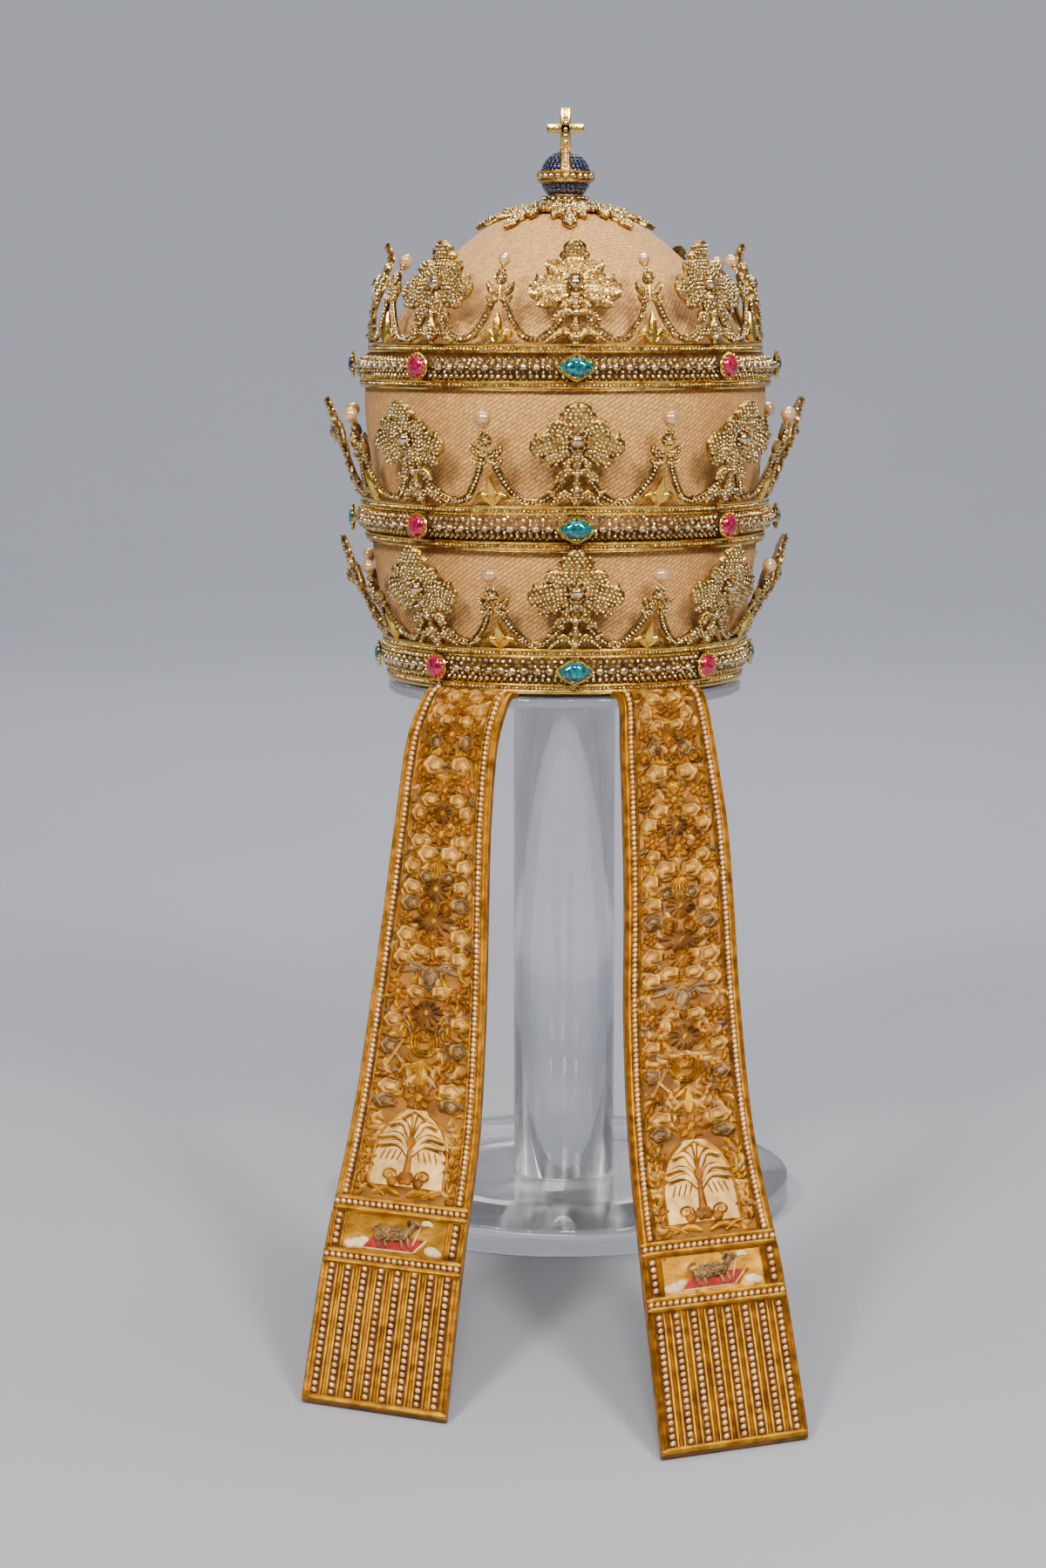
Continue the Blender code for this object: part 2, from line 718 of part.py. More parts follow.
def lappet_breaks(route):
    """Where the rows lie along a lappet, with a close pair at each step of its thickness."""
    size = route.size()
    bend = [float(length) for length in route.lengths[:BEND_STATIONS]]
    rows = bend + [bend[-1] + (size - bend[-1]) * (i + 1) / LAPPET_ROWS for i in range(LAPPET_ROWS)]
    edges = [size - END_PANEL - LOWER_BAR]
    edges.append(edges[0] - PICTURE_PANEL)
    edges.append(edges[1] - UPPER_BAR)
    rows = [row for row in rows if min(abs(row - edge) for edge in edges) > EDGE_CLEAR]
    for edge in edges:
        rows += [edge - STEP / 2, edge + STEP / 2]
    return sorted(rows), edges


def raised(along, edges):
    """Whether the middle is raised here: the end panel with its bar, and the bar over the picture."""
    panel, picture_top, bar_top = edges
    return along > panel or bar_top < along < picture_top


def make_lappet(name, rows, front_sign, parts, embroidery):
    route = Route(rows, front_sign)
    stations, edges = lappet_breaks(route)
    loops = []
    for along in stations:
        centre = route.centre(along)
        out, across = route.frame(along)
        half = across.length
        inner = 1 - BORDER_WIDTH / half
        field = inner - STEP / half
        border = LAPPET_THICK + BORDER_RAISE * (along > RAISE_STARTS)
        middle = border if raised(along, edges) else LAPPET_THICK
        right = [(field, middle), (inner, border), (1, border)]
        top = [(-share, height) for share, height in reversed(right)] + [(0, middle)] + right
        under = [(share, 0.0) for share, _ in reversed(top)]
        loops.append([centre + across * share + out * height for share, height in top + under])
    bm = lofted(loops)
    new_object(name, mesh_from(bm, name), parts, embroidery)


def rounded_disc(name, radius, low, high, parts, material):
    bm = bmesh.new()
    bmesh.ops.create_cone(
        bm, cap_ends=True, segments=SEGMENTS, radius1=radius, radius2=radius, depth=high - low
    )
    obj = new_object(name, mesh_from(bm, name), parts, material)
    obj.location.z = (low + high) / 2
    bevel = obj.modifiers.new("Edge", "BEVEL")
    bevel.width = STAND_BEVEL
    bevel.segments = 1
    bevel.limit_method = "ANGLE"


def make_stand(parts, acrylic):
    disc_under = DISC_TOP - DISC_THICK
    rounded_disc("stand_base", BASE_RADIUS, 0.0, BASE_THICK, parts, acrylic)
    rounded_disc("stand_top", DISC_RADIUS, disc_under, DISC_TOP, parts, acrylic)
    low, high = BASE_THICK + GAP, disc_under - GAP
    inner = COLUMN_RADIUS - COLUMN_WALL
    profile = [(COLUMN_RADIUS, high), (COLUMN_RADIUS, low), (inner, low), (inner, high)]
    turned("stand_column", profile, True, parts, acrylic, COARSE_SEGMENTS)


def main():
    clear_scene()
    parts = new_collection("papal_tiara_on_stand")
    helpers = new_collection("helpers")
    helpers.hide_render = True
    materials = {name: new_material(name) for name in FINISHES}
    make_stand(parts, materials["acrylic"])
    make_cap(parts, materials["cloth"])
    make_lining(parts, materials["lining"])
    for crown in CROWNS:
        make_crown(crown, parts, helpers, materials["gold"])
        make_stones(crown, parts, materials)
    make_apex(parts, helpers, materials["gold"])
    make_orb(parts, materials["sapphire"])
    make_girdle_and_cross(parts, helpers, materials["gold"])
    make_lappet("lappet_left", LAPPET_LEFT, 1.0, parts, materials["embroidery"])
    make_lappet("lappet_right", LAPPET_RIGHT, -1.0, parts, materials["embroidery"])


main()
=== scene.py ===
"""Looks of a jewelled triple crown with two lappets, held on a plain clear stand.

Flat work is drawn in millimetres as across, up and out, and is then bent on to the surface that it lies on.
"""

import logging
import math
from collections.abc import Callable, Sequence
from dataclasses import dataclass, field, replace
from enum import Enum

import bpy
import numpy as np
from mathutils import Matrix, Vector

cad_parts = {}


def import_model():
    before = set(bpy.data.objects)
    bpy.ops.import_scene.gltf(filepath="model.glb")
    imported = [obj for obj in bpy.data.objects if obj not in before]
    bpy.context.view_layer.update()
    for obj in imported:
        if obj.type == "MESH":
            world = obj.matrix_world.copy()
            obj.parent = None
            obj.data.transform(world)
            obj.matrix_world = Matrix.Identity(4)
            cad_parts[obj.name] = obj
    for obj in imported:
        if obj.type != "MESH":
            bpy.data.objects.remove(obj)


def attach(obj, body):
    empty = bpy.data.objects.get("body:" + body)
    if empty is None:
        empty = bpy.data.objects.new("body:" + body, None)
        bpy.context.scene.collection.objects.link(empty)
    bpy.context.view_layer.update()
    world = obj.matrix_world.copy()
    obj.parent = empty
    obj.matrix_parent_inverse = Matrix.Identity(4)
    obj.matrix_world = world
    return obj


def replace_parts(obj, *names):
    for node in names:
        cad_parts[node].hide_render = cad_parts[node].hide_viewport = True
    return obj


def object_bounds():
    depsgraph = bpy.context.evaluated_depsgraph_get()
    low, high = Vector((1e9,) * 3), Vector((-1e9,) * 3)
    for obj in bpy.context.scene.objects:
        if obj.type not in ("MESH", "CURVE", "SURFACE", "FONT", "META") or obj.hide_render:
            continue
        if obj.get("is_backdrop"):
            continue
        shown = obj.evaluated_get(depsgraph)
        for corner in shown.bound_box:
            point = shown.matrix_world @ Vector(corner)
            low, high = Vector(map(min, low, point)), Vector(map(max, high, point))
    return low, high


LOG = logging.getLogger("triple_crown")
MM = 0.001
RIM_Z = 0.300
PER_CROWN = 8
CROWN_TURN = math.radians(3.0)
FULL = 2 * math.pi
SHARP_EDGE = math.radians(55)
AXIS_HOLE = 0.02
Array = np.ndarray
Rows = Sequence[Sequence[float]]
Mesh = tuple[Array, Array]
Lay = Callable[[Array], Array]
Colour = tuple[float, float, float]


def linear(screen: Colour) -> Colour:
    """Turns a screen colour, from 0 to 255, into the shader's linear values."""
    parts = [part / 255 for part in screen]
    return tuple(part / 12.92 if part <= 0.04045 else ((part + 0.055) / 1.055) ** 2.4 for part in parts)


class Recipe:
    """The nodes of one finish, added one after another."""

    def __init__(self, name: str, values: dict[str, object]) -> None:
        """Starts a material.

        Args:
            name: The material's name.
            values: What each of the shader's own sockets is set to.
        """
        self.material = bpy.data.materials.new(name)
        self.material.use_nodes = True
        self.tree = self.material.node_tree
        self.shader = self.tree.nodes["Principled BSDF"]
        for socket, value in values.items():
            self.put(socket, value)

    def feed(self, socket: bpy.types.NodeSocket, value: object) -> None:
        """Links an output to a socket, or sets the socket's value.

        Args:
            socket: The input.
            value: Another node's output, a number or a colour.
        """
        if isinstance(value, bpy.types.NodeSocket):
            self.tree.links.new(value, socket)
        elif isinstance(value, tuple) and socket.type == "RGBA":
            socket.default_value = (*value[:3], 1.0)
        else:
            socket.default_value = value

    def put(self, socket: str, value: object) -> None:
        """Feeds one of the shader's own sockets."""
        self.feed(self.shader.inputs[socket], value)

    def node(self, kind: str, inputs: dict, settings: dict | None = None, output: str | int = 0) -> object:
        """Adds a node.

        Args:
            kind: Its type without the ShaderNode prefix.
            inputs: What goes into its sockets, by name or number.
            settings: Its own options.
            output: Which output is wanted.

        Returns:
            That output.
        """
        node = self.tree.nodes.new("ShaderNode" + kind)
        for option, value in (settings or {}).items():
            setattr(node, option, value)
        for socket, value in inputs.items():
            self.feed(node.inputs[socket], value)
        return node.outputs[output]

    def math(self, operation: str, first: object, second: object = 0.0) -> object:
        """Adds a Math node and returns its output."""
        return self.node("Math", {0: first, 1: second}, {"operation": operation})

    def where(self) -> object:
        """Returns each point's place in millimetres."""
        place = self.node("TexCoord", {}, output="Object")
        return self.node("VectorMath", {0: place, 1: (1000.0, 1000.0, 1000.0)}, {"operation": "MULTIPLY"})

    def noise(self, per_mm: float, detail: float = 3.0) -> object:
        """Returns soft noise with so many features a millimetre."""
        return self.node("TexNoise", {"Vector": self.where(), "Scale": per_mm, "Detail": detail})

    def mixed(self, share: object, first: object, second: object) -> object:
        """Returns a colour between two by a share."""
        return self.node("Mix", {0: share, 6: first, 7: second}, {"data_type": "RGBA"}, 2)

    def colours(self, share: object, first: Colour, second: Colour) -> None:
        """Colours the surface between two screen colours by a share."""
        self.put("Base Color", self.mixed(share, linear(first), linear(second)))

    def ranged(self, value: object, low: float, high: float, start: float = 0.0, end: float = 1.0) -> object:
        """Returns a value stretched from one range to another, held at its ends."""
        return self.node("MapRange", {0: value, 1: low, 2: high, 3: start, 4: end})

    def bump(self, height: object, depth_mm: float, strength: float = 0.8) -> None:
        """Raises the surface by a height from 0 to 1, so many millimetres deep, by a share of it."""
        values = {"Height": height, "Distance": depth_mm * MM, "Strength": strength}
        self.put("Normal", self.node("Bump", values))


@dataclass(frozen=True)
class Metal:
    """Gold, or stones set so close that they shine like it."""

    name: str
    light: Colour
    deep: Colour
    roughness: float = 0.18
    metallic: float = 1.0
    patches: float = 0.25
    contrast: tuple[float, float] = (0.35, 0.65)
    dent_mm: float = 0.02
    dents: float = 1.2

    def material(self) -> bpy.types.Material:
        """Builds the material with patches of wear and fine dents.

        Returns:
            The material.
        """
        recipe = Recipe(self.name, {"Metallic": self.metallic})
        recipe.colours(recipe.ranged(recipe.noise(self.patches, 4.0), *self.contrast), self.light, self.deep)
        worn = (self.roughness * 0.7, self.roughness * 1.5)
        recipe.put("Roughness", recipe.ranged(recipe.noise(self.patches * 3), 0.3, 0.7, *worn))
        recipe.bump(recipe.noise(self.dents, 2.0), self.dent_mm)
        return recipe.material


@dataclass(frozen=True)
class Gem:
    """A coloured stone with a deep body and a bright surface."""

    name: str
    light: Colour
    deep: Colour
    metallic: float = 0.45

    def material(self) -> bpy.types.Material:
        """Builds the material with random flecks of lighter colour, painted highlights that stand in for lit
        facets.

        Returns:
            The material.
        """
        values = {
            "Metallic": self.metallic, "Roughness": 0.12, "IOR": 1.7,
            "Coat Weight": 1.0, "Coat Roughness": 0.03,
        }
        recipe = Recipe(self.name, values)
        # Painted highlights: lighter flecks, placed at random, stand in for the light from lit facets.
        recipe.colours(recipe.ranged(recipe.noise(0.55, 2.0), 0.38, 0.62), self.deep, self.light)
        return recipe.material


@dataclass(frozen=True)
class Lustre:
    """Pearls and glass beads: a soft body under a smooth glaze."""

    name: str
    light: Colour
    deep: Colour
    metallic: float = 0.15
    roughness: float = 0.22

    def material(self) -> bpy.types.Material:
        """Builds the material, which changes a little from pearl to pearl.

        Returns:
            The material.
        """
        recipe = Recipe(self.name, {"Metallic": self.metallic, "Roughness": self.roughness})
        recipe.put("Coat Weight", 0.7)
        recipe.put("Coat Roughness", 0.08)
        recipe.colours(recipe.ranged(recipe.noise(0.12), 0.35, 0.65), self.light, self.deep)
        recipe.bump(recipe.noise(0.9, 2.0), 0.03, 0.5)
        return recipe.material


@dataclass(frozen=True)
class Needlework:
    """Silk or metal thread laid in close stitches."""

    name: str
    light: Colour
    deep: Colour
    metallic: float = 0.0
    roughness: float = 0.5
    thread_mm: float = 0.42
    depth_mm: float = 0.10
    patches: float = 0.16
    sheen: float = 0.0

    def material(self) -> bpy.types.Material:
        """Builds the material with its stitches and the soft change of colour between them.

        Returns:
            The material.
        """
        values = {"Metallic": self.metallic, "Sheen Weight": self.sheen, "Specular IOR Level": 0.25}
        recipe = Recipe(self.name, values)
        recipe.colours(recipe.ranged(recipe.noise(self.patches), 0.34, 0.66), self.light, self.deep)
        inputs = {"Vector": recipe.where(), "Scale": 0.31 / self.thread_mm, "Distortion": 2.2, "Detail": 1.5}
        stitches = recipe.node("TexWave", inputs, {"bands_direction": "DIAGONAL"}, "Fac")
        rubbed = (self.roughness * 1.25, self.roughness * 0.85)
        recipe.put("Roughness", recipe.ranged(stitches, 0.0, 1.0, *rubbed))
        recipe.bump(stitches, self.depth_mm, 0.7)
        return recipe.material


@dataclass(frozen=True)
class CapCloth:
    """The cap's fine basket weave, drawn on the slant, in a pinkish beige."""

    name: str = "cap_cloth"
    light: Colour = (231, 177, 102)
    deep: Colour = (124, 84, 40)
    radius_mm: float = 108.0
    slant: float = math.radians(34)
    thread_long: float = 4.2
    thread_wide: float = 2.1
    depth_mm: float = 0.34

    def weave(self, recipe: Recipe, across: object, up: object) -> object:
        """Draws the weave.

        Args:
            recipe: The cloth's nodes.
            across: Where the cloth is read across, in mm.
            up: Where it is read up, in mm.

        Returns:
            The height of the weave.
        """
        cos, sin = math.cos(self.slant), math.sin(self.slant)
        first = recipe.math("ADD", recipe.math("MULTIPLY", across, cos), recipe.math("MULTIPLY", up, sin))
        rise, fall = recipe.math("MULTIPLY", up, cos), recipe.math("MULTIPLY", across, sin)
        second = recipe.math("SUBTRACT", rise, fall)
        inputs = {
            "Vector": recipe.node("CombineXYZ", {0: first, 1: second}),
            "Color1": (1.0, 1.0, 1.0),
            "Color2": (0.72, 0.72, 0.72),
            "Mortar": (0.0, 0.0, 0.0),
            "Scale": 1.0,
            "Mortar Size": 0.3,
            "Mortar Smooth": 1.0,
            "Brick Width": self.thread_long,
            "Row Height": self.thread_wide,
        }
        return recipe.node("TexBrick", inputs, output="Color")

    def material(self) -> bpy.types.Material:
        """Builds the material, with the weave wrapped round the sides and laid flat over the dome.

        Returns:
            The material.
        """
        recipe = Recipe(self.name, {"Sheen Weight": 0.12, "Sheen Roughness": 0.4, "Roughness": 0.75})
        where = recipe.where()
        x, y, z = (recipe.node("SeparateXYZ", {0: where}, output=part) for part in "XYZ")
        turned = recipe.math("MULTIPLY", recipe.math("ARCTAN2", y, x), self.radius_mm)
        facing = recipe.node("NewGeometry", {}, output="Normal")
        level = recipe.ranged(recipe.node("SeparateXYZ", {0: facing}, output="Z"), 0.55, 0.85)
        height = recipe.mixed(level, self.weave(recipe, turned, z), self.weave(recipe, x, y))
        slubs = recipe.ranged(recipe.noise(0.35, 4.0), 0.3, 0.7, 0.55, 1.0)
        # The weave's grooves between threads are painted dark as shade; the two tones of the threads are the
        # cloth's own.
        recipe.colours(recipe.math("MULTIPLY", slubs, height), self.deep, self.light)
        recipe.bump(height, self.depth_mm)
        return recipe.material


@dataclass(frozen=True)
class Clear:
    """Polished clear acrylic."""

    name: str = "clear_acrylic"
    tint: Colour = (0.985, 0.99, 0.995)
    roughness: float = 0.02
    alpha: float = 0.8

    def material(self) -> bpy.types.Material:
        """Builds the material with faint handling marks in its polish.

        Returns:
            The material.
        """
        values = {"Base Color": self.tint, "Transmission Weight": 1.0, "IOR": 1.49, "Alpha": self.alpha}
        recipe = Recipe(self.name, values)
        marks = recipe.ranged(recipe.noise(0.02, 5.0), 0.45, 0.7, self.roughness, self.roughness * 3)
        recipe.put("Roughness", marks)
        return recipe.material


@dataclass(frozen=True)
class Leather:
    """The dark lining inside the lower rim."""

    name: str = "lining_leather"
    light: Colour = (92, 66, 46)
    deep: Colour = (48, 34, 26)

    def material(self) -> bpy.types.Material:
        """Builds the material with its pores and worn patches.

        Returns:
            The material.
        """
        recipe = Recipe(self.name, {"Roughness": 0.6, "Coat Weight": 0.1})
        pores = recipe.node("TexVoronoi", {"Vector": recipe.where(), "Scale": 1.4}, output="Distance")
        recipe.colours(recipe.ranged(recipe.noise(0.1, 4.0), 0.3, 0.7), self.deep, self.light)
        recipe.bump(pores, 0.12)
        return recipe.material


@dataclass(frozen=True)
class Floor:
    """A plain pale table."""

    name: str = "pale_floor"
    light: Colour = (150, 154, 165)
    deep: Colour = (145, 149, 160)

    def material(self) -> bpy.types.Material:
        """Builds the material, which is all but even.

        Returns:
            The material.
        """
        recipe = Recipe(self.name, {"Roughness": 0.5, "Specular IOR Level": 0.25})
        recipe.colours(recipe.noise(0.002, 2.0), self.light, self.deep)
        return recipe.material


def sewn(name: str, light: Colour, deep: Colour, *rest: float) -> tuple[str, Needlework]:
    """Returns a silk or thread of the lappets with its slot."""
    return "embroidery", Needlework(name, light, deep, *rest)


class Finish(Enum):
    """Every finish, with the record's slot that it belongs to."""

    POLISHED = ("gold", Metal("polished_gold", (255, 224, 112), (232, 176, 58)))
    LEAF = ("gold", Metal("leaf_gold", (212, 170, 88), (132, 92, 36), 0.3, dent_mm=0.09, dents=0.9))
    # Painted shade: a dark gold laid where shade falls, behind the band's stone rows, in the diamonds' cups
    # and under the swags' stones.
    SHADE = ("gold", Metal("shaded_gold", (104, 70, 34), (52, 34, 18), 0.5, 0.7))
    PAVE = ("gold", Metal("pave_stones", (255, 236, 176), (164, 120, 56), 0.1, 0.92, 0.55, (0.4, 0.62), 0.0))
    BRILLIANT = (
        "gold",
        Metal("brilliant_stones", (255, 232, 190), (150, 116, 74), 0.05, 0.94, 0.5, (0.4, 0.62), 0.0),
    )
    PEARL = ("gold", Lustre("pearl", (238, 204, 156), (196, 150, 104), 0.45, 0.12))
    EMERALD = ("emerald", Gem("cut_emerald", (0, 142, 152), (0, 54, 72)))
    RUBY = ("ruby", Gem("cut_ruby", (222, 24, 88), (112, 0, 36)))
    SAPPHIRE = ("sapphire", Gem("cut_sapphire", (26, 34, 92), (3, 5, 28)))
    CLOTH = ("cloth", CapCloth())
    LINING = ("lining", Leather())
    ACRYLIC = ("acrylic", Clear())
    SATIN = sewn("lappet_satin", (150, 98, 32), (98, 60, 15), 0.3, 0.4, 0.36, 0.05, 0.10)
    THREAD = sewn("gold_thread", (186, 130, 22), (112, 70, 7), 0.75, 0.32, 0.30)
    ROLL = sewn("gold_roll", (206, 156, 42), (152, 98, 14), 0.75, 0.30, 0.34, 0.14)
    CREAM = sewn("cream_silk", (208, 162, 80), (160, 110, 42), 0.35, 0.32, 0.5, 0.12, 0.16, 0.05)
    OCHRE = sewn("ochre_silk", (155, 97, 22), (101, 58, 9), 0.4, 0.36, 0.5, 0.12)
    BROWN = sewn("brown_silk", (122, 78, 24), (70, 40, 9), 0.4, 0.4, 0.5, 0.12)
    SILVER = sewn("silver_thread", (159, 126, 83), (96, 71, 44), 0.6, 0.34, 0.34, 0.12, 0.16, 0.05)
    IVORY = sewn("ivory_silk", (238, 200, 128), (190, 144, 78), 0.25, 0.36, 0.5, 0.10, 0.16, 0.05)
    RED = sewn("red_silk", (158, 18, 15), (110, 9, 10), 0.0, 0.5, 0.4, 0.06, 0.3, 0.1)
    WHITE = sewn("white_silk", (222, 204, 166), (188, 164, 124), 0.0, 0.5, 0.5, 0.08, 0.16, 0.1)
    # Painted shade: dark brown silk laid in strips under bead rows and rolls, where the gaps between them are
    # in shade.
    RECESS = sewn("dark_ground", (104, 60, 18), (52, 30, 8), 0.3, 0.6, 0.5, 0.08)
    BEAD = ("embroidery", Lustre("bead", (250, 210, 150), (206, 148, 84), 0.45, 0.22))

    def __init__(
        self, slot: str, look: Metal | Gem | Lustre | Needlework | CapCloth | Leather | Clear
    ) -> None:
        """Names the two halves of the value."""
        self.slot, self.look = slot, look


class Bench:
    """Makes each finish's material once, and the pieces that use it."""

    def __init__(self) -> None:
        """Starts with no materials made."""
        self.made: dict[Finish, bpy.types.Material] = {}
        self.triangles = 0

    def material(self, finish: Finish) -> bpy.types.Material:
        """Returns a finish's material, which is made once.

        Args:
            finish: Whose material it is.

        Returns:
            The material.
        """
        if finish not in self.made:
            self.made[finish] = finish.look.material()
        return self.made[finish]

    def piece(self, name: str, finish: Finish, parts: list[tuple[Array, Array, bool]]) -> bpy.types.Object:
        """Joins parts into one piece that rides on the body.

        Args:
            name: The piece's name.
            finish: Its finish.
            parts: Points in metres, faces and whether they are smooth.

        Returns:
            The piece.
        """
        points, faces, smooth, count = [], [], [], 0
        for part_points, part_faces, part_smooth in parts:
            points.append(part_points)
            faces += [tuple(dict.fromkeys(face)) for face in (part_faces + count).tolist()]
            smooth += [part_smooth] * len(part_faces)
            count += len(part_points)
        mesh = bpy.data.meshes.new(name)
        mesh.from_pydata(np.vstack(points).tolist(), [], faces)
        mesh.polygons.foreach_set("use_smooth", smooth)
        mesh.materials.append(self.material(finish))
        mesh.set_sharp_from_angle(angle=SHARP_EDGE)
        piece = bpy.data.objects.new(name, mesh)
        bpy.context.scene.collection.objects.link(piece)
        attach(piece, "root")
        triangles = sum(len(face) - 2 for face in faces)
        self.triangles += triangles
        LOG.info("%s: %d triangles", name, triangles)
        return piece


class Batch:
    """Points and faces gathered by finish."""

    def __init__(self) -> None:
        """Starts empty."""
        self.parts: dict[Finish, list[tuple[Array, Array, bool]]] = {}

    def add(self, finish: Finish, mesh: Mesh, smooth: bool = True) -> None:
        """Adds one shape."""
        self.parts.setdefault(finish, []).append((*mesh, smooth))

    def stones(self, finish: Finish, template: Mesh, centres: Rows, *rest: object) -> None:
        """Sets copies of a stone at many places, with flat facets."""
        self.add(finish, scatter(template, np.asarray(centres, float), *rest), False)

    def join(self, other: "Batch") -> None:
        """Adds another batch as it is."""
        for finish, parts in other.parts.items():
            self.parts.setdefault(finish, []).extend(parts)

    def lay(self, flat: "Batch", lay: Lay) -> None:
        """Adds another batch, bent on to a surface.

        Args:
            flat: The flat work in mm.
            lay: The surface's function from flat points to the scene's.
        """
        for finish, parts in flat.parts.items():
            for points, faces, smooth in parts:
                self.add(finish, (lay(points), faces), smooth)

    def pieces(self, name: str, bench: Bench) -> dict[Finish, bpy.types.Object]:
        """Makes one piece for each finish.

        Args:
            name: The start of their names.
            bench: Where they are made.

        Returns:
            The pieces by finish.
        """
        return {
            finish: bench.piece(f"{name}_{finish.look.name}", finish, parts)
            for finish, parts in self.parts.items()
        }


def row(across: float | Array, up: float | Array, out: float | Array) -> Array:
    """Lines up points from their three parts, each of which is a list or one number."""
    return np.column_stack(np.broadcast_arrays(across, up, out))


def raised(line: Array, out: float | Array) -> Array:
    """Puts a flat line at a height above its ground."""
    return row(line[:, 0], line[:, 1], out)


def oval(turn: Array, wide: float | Array, high: float | Array) -> Array:
    """Returns flat points of an oval at each angle, by half its width and height."""
    return np.column_stack([np.cos(turn) * wide, np.sin(turn) * high])


def around(count: int) -> Array:
    """Returns evenly spread angles of a full turn."""
    return np.linspace(0, FULL, count, endpoint=False)


def about_axis(radius: float, turn: Array, height: float) -> Array:
    """Places points round the axis, with angles counted from the front."""
    return row(radius * np.sin(turn), -radius * np.cos(turn), height)


def unit(vectors: Array) -> Array:
    """Returns the same directions, each of length 1."""
    return vectors / np.linalg.norm(vectors, axis=1)[:, None]


def lengths_along(line: Array) -> Array:
    """Returns how far along a line each of its points is."""
    return np.concatenate([[0], np.cumsum(np.linalg.norm(np.diff(line, axis=0), axis=1))])


def upright(mesh: Mesh) -> Mesh:
    """Moves a shape, in mm about the axis and above the rim, into the scene's metres."""
    return mesh[0] * MM + (0, 0, RIM_Z), mesh[1]


def turned_out(points: Array, faces: Array) -> Mesh:
    """Turns the faces of a closed shape to look outward.

    Args:
        points: Its points.
        faces: Its faces of four corners.

    Returns:
        The points and faces.
    """
    a, b, c, d = (points[faces[:, i]] - points.mean(axis=0) for i in range(4))
    volume = np.einsum("ij,ij->", a, np.cross(b, c)) + np.einsum("ij,ij->", a, np.cross(c, d))
    return points, faces if volume > 0 else faces[:, ::-1]


def loft(rings: Array, cyclic: bool = False) -> Mesh:
    """Makes a closed skin through rings of points.

    Args:
        rings: Points by ring and place in the ring.
        cyclic: Whether the last ring joins the first, instead of both being closed.

    Returns:
        The points and faces.
    """
    rings = np.asarray(rings)
    count, size = rings.shape[:2]
    index = np.arange(count * size).reshape(count, size)
    rows = np.vstack([index, index[:1]]) if cyclic else index
    start, end = rows[:-1], rows[1:]
    faces = np.stack([start, np.roll(start, -1, 1), np.roll(end, -1, 1), end], axis=-1).reshape(-1, 4)
    points = rings.reshape(-1, 3)
    if not cyclic:
        middle = count * size
        points = np.vstack([points, rings[0].mean(axis=0), rings[-1].mean(axis=0)])
        for ring, tip, step in ((index[0], middle, 1), (index[-1], middle + 1, -1)):
            after = np.roll(ring, -step)
            centre = np.full(size, tip)
            faces = np.vstack([faces, np.stack([centre, after, ring, ring], axis=-1)])
    return turned_out(points, faces)


def lathe(profile: Rows, segments: int) -> Mesh:
    """Turns a closed profile round the axis.

    Args:
        profile: Its radii and heights.
        segments: How many steps one turn has.

    Returns:
        The points and faces.
    """
    radius, height = np.asarray(profile, float).T
    turn = around(segments)[:, None]
    rings = np.stack([np.sin(turn) * radius, -np.cos(turn) * radius, np.ones_like(turn) * height], axis=-1)
    return loft(rings, cyclic=True)


def smooth_line(knots: Rows, count: int) -> Array:
    """Spreads points evenly along a smooth line.

    Args:
        knots: The points that it goes through.
        count: How many points are wanted.

    Returns:
        The points.
    """
    knots = np.asarray(knots, float)
    padded = np.vstack([2 * knots[0] - knots[1], knots, 2 * knots[-1] - knots[-2]])
    share = np.linspace(0, len(knots) - 1, max(4 * count, 48))
    i = np.minimum(share.astype(int), len(knots) - 2)
    t = (share - i)[:, None]
    a, b, c, d = (padded[i + k] for k in range(4))
    line = 0.5 * (2 * b + (c - a) * t + (2 * a - 5 * b + 4 * c - d) * t**2 + (3 * b - a - 3 * c + d) * t**3)
    lengths = lengths_along(line)
    evenly = np.linspace(0, lengths[-1], count)
    return np.column_stack([np.interp(evenly, lengths, part) for part in line.T])


def tube(
    line: Array,
    radius: float,
    sides: int = 6,
    closed: bool = False,
    strands: int = 0,
    pitch: float = 3.0,
    upward: Sequence[float] = (0.0, 0.0, 1.0),
) -> Mesh:
    """Makes a wire, or a twisted cord, along a line.

    Args:
        line: The points of its middle.
        radius: Its radius.
        sides: How many sides it has.
        closed: Whether it joins its own start.
        strands: How many strands are twisted together, or 0 for a plain wire.
        pitch: The length of one full twist.
        upward: A direction that the line never runs along.

    Returns:
        The points and faces.
    """
    tangent = unit(np.roll(line, -1, 0) - np.roll(line, 1, 0) if closed else np.gradient(line, axis=0))
    side = unit(np.cross(tangent, np.asarray(upward)))
    lift = np.cross(side, tangent)
    turn = around(sides)[None, :]
    reach = np.full((len(line), sides), radius)
    if strands:
        along = lengths_along(line)[:, None]
        reach = radius * (0.66 + 0.34 * np.abs(np.cos((turn - FULL * along / pitch) * strands / 2)))
    if not closed:
        reach[[0, -1]] *= 0.4
    rings = line[:, None] + side[:, None] * (np.cos(turn) * reach)[..., None]
    return loft(rings + lift[:, None] * (np.sin(turn) * reach)[..., None], closed)


def rope(line: Array, radius: float, pitch: float = 5.0, step: float = 1.0) -> Mesh:
    """Makes a cord of two strands, with enough points for its twist."""
    count = max(4, int(lengths_along(line)[-1] / step))
    return tube(smooth_line(line, count), radius, 4, strands=2, pitch=pitch)


def ball(sides: int = 8, rings: int = 5) -> Mesh:
    """Makes a sphere of radius 1.

    Args:
        sides: How many steps it has round.
        rings: How many rings it has between its poles.

    Returns:
        The points and faces.
    """
    polar = np.linspace(0, math.pi, rings + 2)[1:-1, None]
    turn = around(sides)
    points, faces = loft(np.stack(
        [np.sin(polar) * np.cos(turn), np.sin(polar) * np.sin(turn), np.cos(polar) * np.ones(sides)], axis=-1
    ))
    points[-2:] = ((0, 0, 1), (0, 0, -1))
    return points, faces


